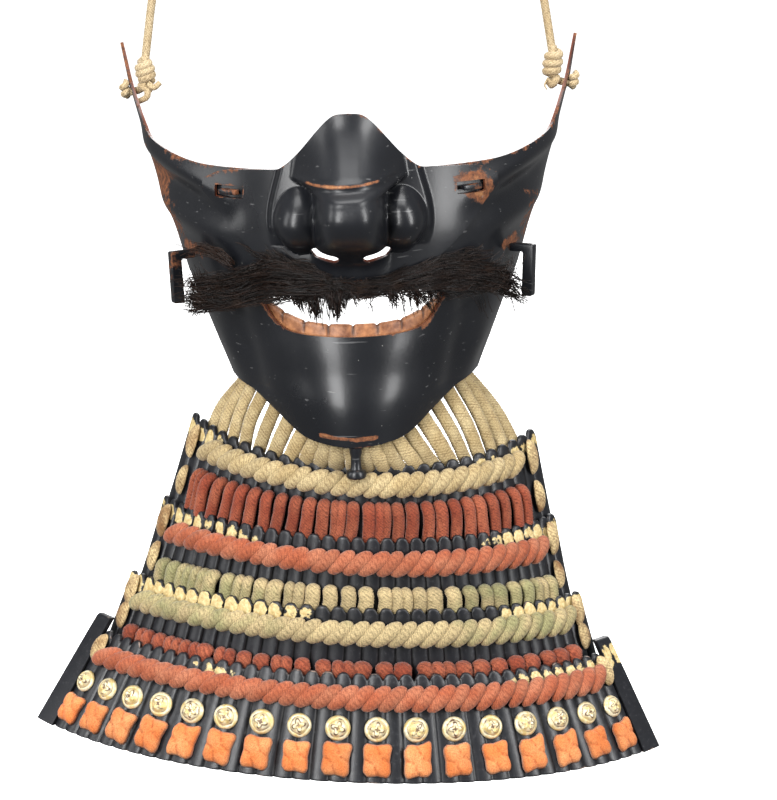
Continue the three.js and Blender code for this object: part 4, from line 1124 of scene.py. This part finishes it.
def lame_finish():
    material, shader, add, link = new_finish("lame_lacquer")
    where = add("TexCoord").outputs["Object"]
    wear = add("Attribute", {"attribute_name": "wear"}).outputs["Fac"]
    gild = add("Attribute", {"attribute_name": "gild"}).outputs["Fac"]
    groove = add("Attribute", {"attribute_name": "groove"}).outputs["Fac"]
    blotch = add("TexNoise", Vector=where, Scale=150.0, Detail=6.0, Roughness=0.65).outputs["Fac"]
    fine = add("TexNoise", Vector=where, Scale=700.0, Detail=4.0, Roughness=0.7).outputs["Fac"]
    haze = add("TexNoise", Vector=where, Scale=30.0, Detail=4.0).outputs["Fac"]
    black = mix_colour(add, haze, (0.004, 0.0045, 0.006, 1), (0.013, 0.014, 0.018, 1))
    # Painted shade: the grooves where the heads' ribs meet are darkened to near black.
    black = mix_colour(add, groove, black, (0.002, 0.002, 0.002, 1))
    dusty = ramp(add, fine, (0.58, 0), (0.70, 0.4))
    black = mix_colour(add, dusty, black, (0.075, 0.075, 0.085, 1))
    bright = ramp(add, fine, (0.35, 0), (0.65, 1))
    gold = mix_colour(add, bright, (0.42, 0.29, 0.10, 1), (0.70, 0.58, 0.31, 1))
    leaf = add("Math", {"operation": "MULTIPLY_ADD"}, i0=gild, i1=0.62, i2=blotch)
    covered = ramp(add, leaf.outputs[0], (0.86, 0), (0.90, 1))
    worn = add("Math", {"operation": "MULTIPLY_ADD"}, i0=wear, i1=0.5, i2=blotch)
    bare = ramp(add, worn.outputs[0], (0.86, 0), (0.92, 1))
    metal = mix_colour(add, fine, (0.16, 0.07, 0.035, 1), (0.34, 0.30, 0.27, 1))
    colour = mix_colour(add, bare, black, metal)
    colour = mix_colour(add, covered, colour, gold)
    link(colour, "Base Color")
    gloss = add("MapRange", i0=fine, i1=0.3, i2=0.7, i3=0.30, i4=0.46)
    rough = add("Mix", {"data_type": "FLOAT"}, i0=covered, i2=gloss.outputs[0], i3=0.55)
    link(rough.outputs[0], "Roughness")
    link(add("Bump", Strength=0.25, Distance=0.0003, Height=fine).outputs[0], "Normal")
    shader.inputs["Specular IOR Level"].default_value = 0.42
    shader.inputs["Coat Weight"].default_value = 0.1
    shader.inputs["Coat Roughness"].default_value = 0.25
    return material


lame_lacquer = lame_finish()


def rounding(distance):
    """How far a plate's rounded edge falls back, at a distance from it."""
    return 0.55 * (1 - np.sqrt(1 - np.clip(1 - distance / 0.8, 0, 1) ** 2))


def gold_along(index, across):
    """How well the gilding has lasted along a lame."""
    strength = 0.80 * np.exp(-((across + 0.42) / 0.12) ** 2) if index == LAST else 0
    for full, begin, end in gilding[index]:
        strength = strength + full * np.clip((across - begin) / (end - begin), 0, 1)
    return strength


def make_lame(index):
    plain = PLAIN_FROM if index == LAST else 1.0
    heads = head_counts[index]
    across = np.linspace(-1, 1, heads * 12 + 1)
    panel = np.abs(across) > plain
    across = np.where(np.abs(np.abs(across) - plain) < 0.004, np.sign(across) * plain, across)
    head = (across / plain + 1) / 2 * heads
    aside = 2 * (head % 1) - 1
    part = np.abs(aside)
    top, foot = lames["top"][index], lame_foot(index)
    length = (foot - top) * GUARD_HEIGHT
    along = np.concatenate([[0, 0.2, 0.5, 1.0, 1.8, 3, 4.5], np.linspace(6.5, length - 1, 20),
                            [length - 0.6, length - 0.25, length]])[:, None]
    lean = np.clip(1.15 * aside + 0.15, -1, 1)
    dip = HEAD_DIP * np.maximum(np.abs(lean) ** 3.5, part ** 6)
    dip = np.where(panel, -PANEL_RISE if index == LAST else 0, dip)
    drop = top + (along + dip * np.clip(1 - along / 8, 0, 1)) / GUARD_HEIGHT
    rib = 1.15 * np.sqrt(1 - 0.92 * part ** 2) - 0.95 + 0.25 * aside
    rib = np.where(panel, 0.9, rib)
    stand = rib - rounding(along) - rounding(length - along)
    front = lame_face(index, across[None, :], drop, stand)
    back = lame_face(index, across[None, :], drop, -LAME_PLATE + 0 * stand)
    points, faces, used = plate_from_grid(front, back, np.ones((len(along) - 1, len(across) - 1), bool))
    bare_tip = 0.5 if index != 2 else 0.125
    near_head = np.clip(1 - (along - 6.5) / 2, 0, 1) * np.clip(along / 2.2 + 0.5 - bare_tip, 0, 1)
    strength = gold_along(index, across)
    gild = strength[None, :] * near_head * (1 - 0.5 * part[None, :] ** 4)
    top_wear = 0.6 * np.clip(1 - along / 1.2, 0, 1)
    foot_wear = 0.75 * np.clip(1 - (length - along) / 1.6, 0, 1)
    end_wear = 0.7 * np.clip((np.abs(across) - 0.99) / 0.01, 0, 1)
    edge = np.maximum(np.maximum(top_wear, foot_wear), end_wear)
    # where the ribs meet; the lame finish paints shade there
    groove = np.where(panel, 0, part ** 8)[None, :] + 0 * along
    count = front.shape[0] * front.shape[1]
    marks = {name: np.concatenate([np.broadcast_to(value, front.shape[:2]).ravel(), np.zeros(count)])[used]
             for name, value in (("gild", gild), ("wear", edge), ("groove", groove))}
    lame = add_mesh(f"lacquered_lame_{index + 1}", place_guard(points), faces, lame_lacquer, marks)
    lame.data.set_sharp_from_angle(angle=SHARP_EDGE)
    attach(lame, "root")
    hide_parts(f"lame_{index + 1}")


for index in range(LAST + 1):
    make_lame(index)


# Suspension lacing
# Silk braid, doubled flat. The first row hangs the guard from the jaw's flange in cream. The other
# rows, in red, green-cream and red, come out of one lame's front and go in behind the next.
JAW_CORDS = 22
CORD_WIDTH = 3.15
ROW_LOOPS = 26
LACE_DEPTH = 2.0
LACE_POCKET = 4.0
BAND_TALL = 9.4
band_shares = (0.8, 1.08, 1.08, 1.0)
LACE_SEED = 11
cream_lace = lace_finish(
    "cream_lace", (0.50, 0.38, 0.19, 1), (0.15, 0.09, 0.035, 1), (0.62, 0.50, 0.28, 1))
green_lace = lace_finish(
    "green_lace", (0.33, 0.315, 0.15, 1), (0.11, 0.09, 0.04, 1), (0.56, 0.43, 0.23, 1), worn_middle=0.22)
red_lace = lace_finish(
    "red_lace", (0.29, 0.060, 0.027, 1), (0.07, 0.011, 0.007, 1), (0.40, 0.115, 0.055, 1))


def guard_turn(index, across, drop):
    """The turn that stands a piece square on a lame: X level, -Y out of it and Z up it."""
    up = turn_guard(lame_face(index, across, drop - 0.05) - lame_face(index, across, drop))
    level = turn_guard(lame_face(index, across + 0.004, drop) - lame_face(index, across - 0.004, drop))
    inward = np.cross(up, level)
    inward /= np.linalg.norm(inward)
    up /= np.linalg.norm(up)
    level = np.cross(inward, up)
    return Matrix(np.column_stack([level, inward, up]).tolist()).to_quaternion()


def layout_tree():
    """Copies of the pattern pieces, one on each guide point, a little varied."""
    tree, entry, leave, add = nodes_tree("pieces set out on a guide", {
        "Patterns": "Collection", "Size variation": "Float", "Lean": "Float", "Seed": "Int",
        "Material": "Material"})
    patterns = add("GeometryNodeCollectionInfo", {"transform_space": "ORIGINAL"},
                   Collection=entry["Patterns"], Separate_Children=True, Reset_Children=True).outputs[0]
    kind = add("GeometryNodeInputNamedAttribute", {"data_type": "INT"}, Name="kind").outputs[0]
    turn = add("GeometryNodeInputNamedAttribute", {"data_type": "QUATERNION"}, Name="turn").outputs[0]
    size = add("GeometryNodeInputNamedAttribute", {"data_type": "FLOAT_VECTOR"}, Name="size").outputs[0]
    small = add("ShaderNodeMath", {"operation": "SUBTRACT"}, i0=1.0, i1=entry["Size variation"]).outputs[0]
    large = add("ShaderNodeMath", {"operation": "ADD"}, i0=1.0, i1=entry["Size variation"]).outputs[0]
    vary = add("FunctionNodeRandomValue", {"data_type": "FLOAT"}, i2=small, i3=large, Seed=entry["Seed"])
    scale = add("ShaderNodeVectorMath", {"operation": "SCALE"}, i0=size, Scale=vary.outputs[1]).outputs[0]
    copies = add("GeometryNodeInstanceOnPoints", Points=entry["Geometry"], Instance=patterns,
                 Pick_Instance=True, Instance_Index=kind, Rotation=turn, Scale=scale).outputs[0]
    other = add("ShaderNodeMath", {"operation": "MULTIPLY"}, i0=entry["Lean"], i1=-1.0).outputs[0]
    tilt = add("FunctionNodeRandomValue", {"data_type": "FLOAT"},
               i2=other, i3=entry["Lean"], Seed=entry["Seed"])
    spin = add("FunctionNodeAxisAngleToRotation", Axis=(0, 1, 0), Angle=tilt.outputs[1]).outputs[0]
    leant = add("GeometryNodeRotateInstances", Instances=copies, Rotation=spin).outputs[0]
    real = add("GeometryNodeRealizeInstances", Geometry=leant).outputs[0]
    painted = add("GeometryNodeSetMaterial", Geometry=real, Material=entry["Material"]).outputs[0]
    tree.links.new(painted, leave["Geometry"])
    return tree


layout = layout_tree()


def set_out(name, patterns, spots, material, nodes, variation, lean):
    """One piece from copies of the patterns, in place of the solids named in nodes.

    patterns are (points, faces, groove) in millimetres. Each spot is a place, a turn, a size for
    each axis, a tone and the number of its pattern.
    """
    group = bpy.data.collections.new(name + " patterns")
    for number, (points, faces, groove) in enumerate(patterns):
        points = np.asarray(points) * MILLIMETRE
        pattern = add_mesh(f"pattern {number}", points, faces, None, {"groove": groove})
        bpy.context.scene.collection.objects.unlink(pattern)
        group.objects.link(pattern)
    guide = bpy.data.meshes.new(name)
    places, turns, sizes, tones, kinds = zip(*spots)
    guide.from_pydata([tuple(point) for point in places], [], [])
    for mark, kind, field, values in (
            ("turn", "QUATERNION", "value", np.array([tuple(turn) for turn in turns], np.float32)),
            ("size", "FLOAT_VECTOR", "vector", np.array(sizes, np.float32)),
            ("tone", "FLOAT", "value", np.array(tones, np.float32)),
            ("kind", "INT", "value", np.array(kinds, np.int32))):
        guide.attributes.new(mark, kind, "POINT").data.foreach_set(field, values.ravel())
    piece = bpy.data.objects.new(name, guide)
    bpy.context.scene.collection.objects.link(piece)
    bake_nodes(piece, layout, {
        "Patterns": group, "Size variation": variation, "Lean": lean, "Seed": LACE_SEED,
        "Material": material})
    for pattern in list(group.objects):
        bpy.data.objects.remove(pattern)
    bpy.data.collections.remove(group)
    piece.data.shade_smooth()
    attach(piece, "root")
    if nodes:
        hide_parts(*nodes)


def make_first_row():
    chance = np.random.default_rng(LACE_SEED)
    parts = []
    tones = []
    for number in range(JAW_CORDS):
        across = (2 * number + 1) / JAW_CORDS - 1
        head = jaw_underside(across * 0.93, 5.5) + (0, 0, -1.5)
        foot = lame_face(0, across * 0.92, LACE_POCKET / GUARD_HEIGHT, -LAME_PLATE - 2.6)
        foot = turn_guard(foot) + CHIN
        bulge = (2.4 * across * abs(across) + chance.normal(0, 0.3), -2.2, abs(across) - 0.5)
        path = smooth_path([head, (head + foot) / 2 + bulge, foot], 0.42)
        out = guard_frame(across, 0)[1] * (0.55, 1, 1)
        part = braid(path, out, CORD_WIDTH * chance.uniform(0.88, 1.1), 1.5, 1.35, 6, 0.24)
        parts.append(part)
        tones.append(np.full(len(part[0]), chance.uniform(0.3, 0.8)))
    points, faces, groove = join_parts(parts)
    marks = {"groove": groove, "tone": np.concatenate(tones)}
    row = add_mesh("silk_lacing_1", place(points), faces, cream_lace, marks)
    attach(row, "root")
    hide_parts("lacing_1")


make_first_row()


def band_middle(index):
    """The middle of the twisted band on a lame, which the loops below it start from."""
    return lames["top"][index] + band_shares[index] * BAND_TALL / GUARD_HEIGHT


def loop_pattern(length, width, bend, crown):
    """A doubled braid: it comes out of the lame, bulges into a round top and runs down the lame."""
    run = np.linspace(0, 1, 9)
    stand = crown * np.array([-0.25, 0.62, 0.95, 1.0, 0.95, 0.9, 0.82, 0.72, 0.62])
    path = np.column_stack([bend * np.sin(np.pi * run), -stand, 0.8 - 0.8 * run - length * run ** 1.15])
    fine = smooth_path(path, 0.42)
    taper = np.interp(fine[1], [0, 0.8, 2.2, fine[1][-1]], [0.45, 0.8, 1, 1])
    return braid(fine, (0, -1, 0), width, LACE_DEPTH, 1.2, 8, 0.2, taper)


def make_row(index, gap_above, reach, wide, crown, material):
    """Row of loops on a lame. gap_above is the bare strip of lame between the band and the loops."""
    chance = np.random.default_rng(LACE_SEED + index)
    pitch = 2 * reach / ROW_LOOPS
    top = band_middle(index) + (BAND_TALL / 2 + gap_above) / GUARD_HEIGHT
    length = (lames["top"][index + 1] - top) * GUARD_HEIGHT + LACE_POCKET
    patterns = [loop_pattern(length, 2.65, 0.3, crown),
                loop_pattern(length + 0.8, 2.8, -0.5, crown * 1.05),
                loop_pattern(length - 0.3, 1.95, 0.5, crown),
                loop_pattern(length - 1.0, 2.5, 0.7, crown * 0.9)]
    spots = []
    for number in range(ROW_LOOPS):
        across = reach * ((2 * number + 1) / ROW_LOOPS - 1)
        doubled = chance.random() < 0.18
        for shift in (-0.25, 0.24) if doubled else (0,):
            at = across + (shift + chance.normal(0, 0.03)) * pitch
            kind = 2 if doubled else chance.choice([0, 1, 3])
            spots.append((place_guard(lame_face(index, at, top, 0.3)), guard_turn(index, at, top),
                          (wide, 1, 1), chance.uniform(0.2, 0.75), kind))
    set_out(f"silk_lacing_{index + 2}", patterns, spots, material, [f"lacing_{index + 2}"],
            0.04, 0.07)


make_row(0, 4.4, 0.815, 1.0, 3.4, red_lace)
make_row(1, 7.4, 0.865, 1.2, 3.3, green_lace)
make_row(2, 9.6, 0.87, 1.32, 3.3, red_lace)


# Twisted lace bands and edge lacing
# Thick silk cord laid like a rope across each lame, in and out of its holes. The ends of each lame
# are bound with speckled cream braid in long stitches.
band_reaches = (0.79, 0.835, 0.865, 0.855)
edge_reaches = (0.90, 0.915, 0.925, 0.89)
TURN_PITCH = 6.6
salmon_lace = lace_finish(
    "salmon_lace", (0.41, 0.108, 0.046, 1), (0.14, 0.030, 0.016, 1), (0.50, 0.19, 0.10, 1))
speckled_lace = lace_finish(
    "speckled_lace", (0.62, 0.48, 0.25, 1), (0.10, 0.05, 0.02, 1), (0.22, 0.11, 0.04, 1), 900.0)


def turn_pattern(slant):
    """One turn of the rope: out of the lame at its foot, over the front and in again above."""
    run = np.linspace(-1, 1, 11)
    path = np.column_stack([slant * np.sin(run * 1.35) / 0.97, -0.2 - 3.0 * np.cos(run * 1.45),
                            4.0 * np.sin(run * 1.5)])
    fine = smooth_path(path, 0.42)
    taper = np.interp(fine[1] / fine[1][-1], [0, 0.12, 0.3, 0.7, 0.88, 1], [0.45, 0.85, 1, 1, 0.85, 0.45])
    outward = fine[0] * (0.15, 1, 1) + (0, 1.2, 0)
    return braid(fine, outward, 3.0, 2.3, 1.15, 9, 0.13, taper)


def make_band(index, material):
    chance = np.random.default_rng(LACE_SEED + 10 * index)
    reach = band_reaches[index]
    middle = band_middle(index)
    fine = np.linspace(-reach, reach, 400)
    line = lame_face(index, fine, middle)
    along = np.r_[0, np.cumsum(np.linalg.norm(np.diff(line, axis=0), axis=1))]
    turns = int(round(along[-1] / TURN_PITCH))
    spots = []
    for number in range(turns):
        at = np.interp((number + 0.5) / turns * along[-1], along, fine)
        spots.append((place_guard(lame_face(index, at, middle, 0.7)), guard_turn(index, at, middle),
                      (1.05, 1, BAND_TALL / 9.0), chance.uniform(0.35, 0.75), chance.integers(2)))
    set_out(f"silk_band_{index + 1}", [turn_pattern(4.1), turn_pattern(4.7)], spots, material,
            [f"lace_band_{index + 1}"], 0.05, 0.08)


for index, (material, slot) in enumerate([(cream_lace, "cream_lace"), (salmon_lace, "salmon_lace"),
                                          (green_lace, "green_lace"), (salmon_lace, "salmon_lace")]):
    make_band(index, material)


def stitch_pattern(length, width):
    """One long stitch of braid, thin at both ends."""
    run = np.linspace(-1, 1, 9)
    path = np.column_stack([0 * run, -1.3 * np.sqrt(1 - 0.9 * run ** 2), length / 2 * run])
    fine = smooth_path(path, 0.4)
    taper = np.sqrt(1.02 - np.linspace(-1, 1, len(fine[0])) ** 2)
    return braid(fine, (0, -1, 0), width / 2, 0.9, 1.3, 6, 0.1, taper)


def edge_stitches():
    spots = []
    chance = np.random.default_rng(LACE_SEED + 3)
    for index in range(LAST + 1):
        reach = edge_reaches[index]
        top = lames["top"][index] + 1 / GUARD_HEIGHT
        foot = lames["top"][index + 1] if index < LAST else band_middle(index) + 4 / GUARD_HEIGHT
        stitches = 2 if index < LAST else 1
        for side in (-1, 1):
            for number in range(stitches):
                drop = top + (foot - top) * (number + 0.5) / stitches
                size = (foot - top) * GUARD_HEIGHT / stitches / 11.5
                spots.append((place_guard(lame_face(index, side * reach, drop, 0.5)),
                              guard_turn(index, side * reach, drop), (1.7, 1.3, size),
                              chance.uniform(0.5, 1), number % 2))
    return spots


set_out("silk_edge_lacing", [stitch_pattern(12, 4.4), stitch_pattern(11, 4)], edge_stitches(),
        speckled_lace, [], 0.06, 0.06)


# Studs and cross knots
# Along the lowest lame: domed brass studs with a worn gilt rosette, and below each a pad of orange
# silk knotted into a cross over the lacing holes.
STUD_COUNT = 17
STUD_RADIUS = 5.2
STUD_HEIGHT = 2.6
STUD_DROP = 0.828
CROSS_HALF = 5.7
CROSS_HEIGHT = 3.0
CROSS_DROP = 0.926
CROSS_TALL = 1.12
HEM_REACH = 0.872
# how far the row is pushed to the left at its ends, and how much further in its middle
HEM_SHIFT = 0.008
HEM_MIDDLE_SHIFT = 0.026
orange_lace = lace_finish(
    "orange_lace", (0.66, 0.19, 0.050, 1), (0.33, 0.065, 0.015, 1), (0.74, 0.31, 0.12, 1))


def dome_faces(rings, around):
    """Faces over a point on top, rings of points below it and a last point underneath."""
    after = [(k + 1) % around for k in range(around)]
    last = 1 + (rings - 1) * around
    return ([[0, 1 + b, 1 + a] for a, b in enumerate(after)]
            + ring_faces(rings, around, 1)
            + [[last + around, last + a, last + b] for a, b in enumerate(after)])


def stud_pattern(petals, depth):
    """A dome with a flower of petals inside a ring."""
    rings, around = 15, 40
    radius = np.linspace(0, 1, rings + 1)[1:]
    angle = np.linspace(0, 2 * np.pi, around, endpoint=False)
    r, a = np.meshgrid(radius, angle, indexing="ij")
    flower = 0.5 + 0.5 * np.cos(petals * a)
    ring = np.exp(-((r - 0.66 - 0.05 * flower) / 0.07) ** 2)
    centre = np.exp(-(r / 0.26) ** 2)
    petal = flower * np.exp(-((r - 0.42) / 0.16) ** 2)
    height = STUD_HEIGHT * (1 - r ** 2.6) + depth * (petal + 0.5 * centre - 0.9 * ring)
    height = np.where(r > 0.97, 0, height)
    reach = STUD_RADIUS * np.minimum(r * 1.03, 1)
    rows = np.stack([reach * np.cos(a), -height, reach * np.sin(a)], -1).reshape(-1, 3)
    points = [(0, -STUD_HEIGHT - 0.5 * depth, 0)] + rows.tolist() + [(0, 0, 0)]
    outline = np.exp(-((r - 0.40 - 0.13 * np.cos(petals * a)) / 0.06) ** 2)
    middle = np.clip(1.2 - r / (0.24 + 0.08 * np.cos(petals * a)), 0, 1)
    dirt = np.clip(0.6 * ring + 0.9 * outline + middle, 0, 1)
    return points, dome_faces(rings, around), np.concatenate([[0.8], dirt.ravel(), [0.5]])


def gilt_finish():
    material, shader, add, link = new_finish("gilt")
    where = add("TexCoord").outputs["Object"]
    groove = add("Attribute", {"attribute_name": "groove"}).outputs["Fac"]
    patch = add("TexNoise", Vector=where, Scale=330.0, Detail=5.0, Roughness=0.65).outputs["Fac"]
    fine = add("TexNoise", Vector=where, Scale=1500.0, Detail=3.0).outputs["Fac"]
    pale = ramp(add, patch, (0.4, 0), (0.6, 1))
    gold = mix_colour(add, pale, (0.60, 0.45, 0.18, 1), (0.76, 0.70, 0.50, 1))
    dirt = add("Math", {"operation": "MULTIPLY_ADD"}, i0=groove, i1=0.45, i2=patch).outputs[0]
    dirty = ramp(add, dirt, (0.64, 0), (0.84, 1))
    link(mix_colour(add, dirty, gold, (0.12, 0.065, 0.035, 1)), "Base Color")
    link(add("Bump", Strength=0.3, Distance=0.0003, Height=fine).outputs[0], "Normal")
    shader.inputs["Roughness"].default_value = 0.42
    shader.inputs["Metallic"].default_value = 0.25
    return material


def cross_pattern(twist, ears):
    """A plump square pad with a lobe at each corner and a fold both ways over it."""
    around, rings = 72, 12
    angle = np.linspace(0, 2 * np.pi, around, endpoint=False)
    square = 1 / np.maximum(np.abs(np.cos(angle)), np.abs(np.sin(angle)))
    edge = np.minimum(square, 1.2) - 0.05 * np.exp(-(np.angle(np.exp(4j * angle)) / 0.9) ** 2)
    for corner, size in enumerate(ears):
        off = np.angle(np.exp(1j * (angle - np.pi / 4 - corner * np.pi / 2 - twist)))
        edge += size * np.exp(-(off / 0.22) ** 2)
    r = np.linspace(0, 1, rings + 1)[1:, None]
    x = CROSS_HALF * edge * r * np.cos(angle)
    z = CROSS_HALF * edge * r * 1.06 * np.sin(angle)
    rope = np.sqrt(np.abs(np.cos(1.9 * x + 0.8 * z) * np.cos(1.7 * z - 0.4 * x)))
    upright = np.exp(-((x - 0.9 * np.sin(0.7 * z)) / 0.6) ** 2)
    level = np.exp(-((z - 0.8 * np.sin(0.8 * x)) / 0.6) ** 2)
    fold = np.minimum(upright + level, 1) * (r > 0.25)
    high = CROSS_HEIGHT * (1 - r ** 4) ** 0.55 + 0.12 * rope * (1 - r ** 6) - 0.45 * fold
    high[-1] = 0
    rows = np.stack([x, -high, z], -1).reshape(-1, 3)
    points = [(0, -CROSS_HEIGHT, 0)] + rows.tolist() + [(0, 0, 0)]
    # the rope's hollows and the sunken folds; the orange lace finish paints shade there
    groove = 0.35 * (1 - rope) + 0.5 * fold
    return points, dome_faces(rings, around), np.concatenate([[0.2], groove.ravel(), [0]])


def hem_spots(drop, tall):
    """Places along the hem. The guard is turned a little, so the row sits to the left."""
    chance = np.random.default_rng(LACE_SEED + 40)
    spots = []
    for number in range(STUD_COUNT):
        share = 2 * number / (STUD_COUNT - 1) - 1
        across = HEM_REACH * share - HEM_SHIFT - HEM_MIDDLE_SHIFT * (1 - share ** 2)
        size = 1 - 0.1 * share ** 4
        spots.append((place_guard(lame_face(LAST, across, drop, 0.4)), guard_turn(LAST, across, drop),
                      (size, 1, size * tall), chance.uniform(0.35, 0.75), chance.integers(3)))
    return spots


numbers = [f"{k + 1:02d}" for k in range(STUD_COUNT)]
set_out("gilt_studs", [stud_pattern(4, 0.5), stud_pattern(6, 0.4), stud_pattern(4, 0.7)],
        hem_spots(STUD_DROP, 1.0), gilt_finish(), [f"stud_{n}" for n in numbers], 0.03, 0.5)
set_out("silk_cross_knots",
        [cross_pattern(0.0, (0.14, 0.05, 0.10, 0.08)), cross_pattern(0.08, (0.28, -0.04, 0.14, 0.02)),
         cross_pattern(-0.05, (0.18, 0.10, 0.0, 0.10))],
        hem_spots(CROSS_DROP, CROSS_TALL), orange_lace, [f"cross_knot_{n}" for n in numbers],
        0.05, 0.06)


# Studio
# A pale floor that runs up into a pale wall and roof all round, so that every side has the same plain
# ground. Two tall soft lights stand in front, with weaker ones at the side, above and behind.
def make_studio():
    """The floor, wall and roof in one closed skin, a round room about the mask."""
    floor_z, reach, bend, around = -0.475, 4.0, 1.0, 48
    angle = np.linspace(0, np.pi / 2, 9)
    profile = [(0.6, floor_z), (1.5, floor_z)]
    profile += [(reach - bend + bend * math.sin(a), floor_z + bend - bend * math.cos(a)) for a in angle]
    profile += [(reach - bend + bend * math.cos(a), floor_z + 5 + bend * math.sin(a)) for a in angle]
    points = [(r * math.cos(a), r * math.sin(a), z) for r, z in profile
              for a in np.linspace(0, 2 * np.pi, around, endpoint=False)]
    faces = ring_faces(len(profile), around)
    faces += [list(range(around))[::-1], list(range(len(points) - around, len(points)))]
    material, shader, add, link = new_finish("pale paper")
    shader.inputs["Base Color"].default_value = (0.9, 0.9, 0.9, 1)
    shader.inputs["Roughness"].default_value = 0.9
    shader.inputs["Emission Color"].default_value = (1, 1, 1, 1)
    shader.inputs["Emission Strength"].default_value = 1.0
    ground = add_mesh("studio_ground", points, faces, material)
    ground.visible_glossy = False
    ground.visible_diffuse = False
    ground.visible_shadow = False


make_studio()


def add_light(name, spot, target, width, height, power):
    data = bpy.data.lights.new(name, "AREA")
    data.shape = "RECTANGLE"
    data.size, data.size_y = width, height
    data.energy = power
    light = bpy.data.objects.new(name, data)
    turn = (Vector(target) - Vector(spot)).to_track_quat("-Z", "Y")
    light.matrix_world = Matrix.Translation(spot) @ turn.to_matrix().to_4x4()
    bpy.context.scene.collection.objects.link(light)


middle = (0, -0.05, -0.22)
add_light("soft left", (-0.55, -1.15, 0.3), middle, 0.45, 1.5, 27)
add_light("soft right", (0.95, -0.75, 0.3), middle, 0.38, 1.5, 22)
add_light("soft side", (-1.25, -0.4, 0.2), middle, 0.5, 1.1, 7)
add_light("soft top", (0, -0.1, 1.1), middle, 1.0, 0.7, 12)
add_light("soft back", (0.2, 1.3, 0.5), middle, 1.0, 1.0, 14)

world = bpy.data.worlds.new("studio")
bpy.context.scene.world = world
world.use_nodes = True
background = world.node_tree.nodes["Background"]
background.inputs["Color"].default_value = (1, 1, 1, 1)
background.inputs["Strength"].default_value = 0.22
bpy.context.scene.view_settings.view_transform = "Standard"
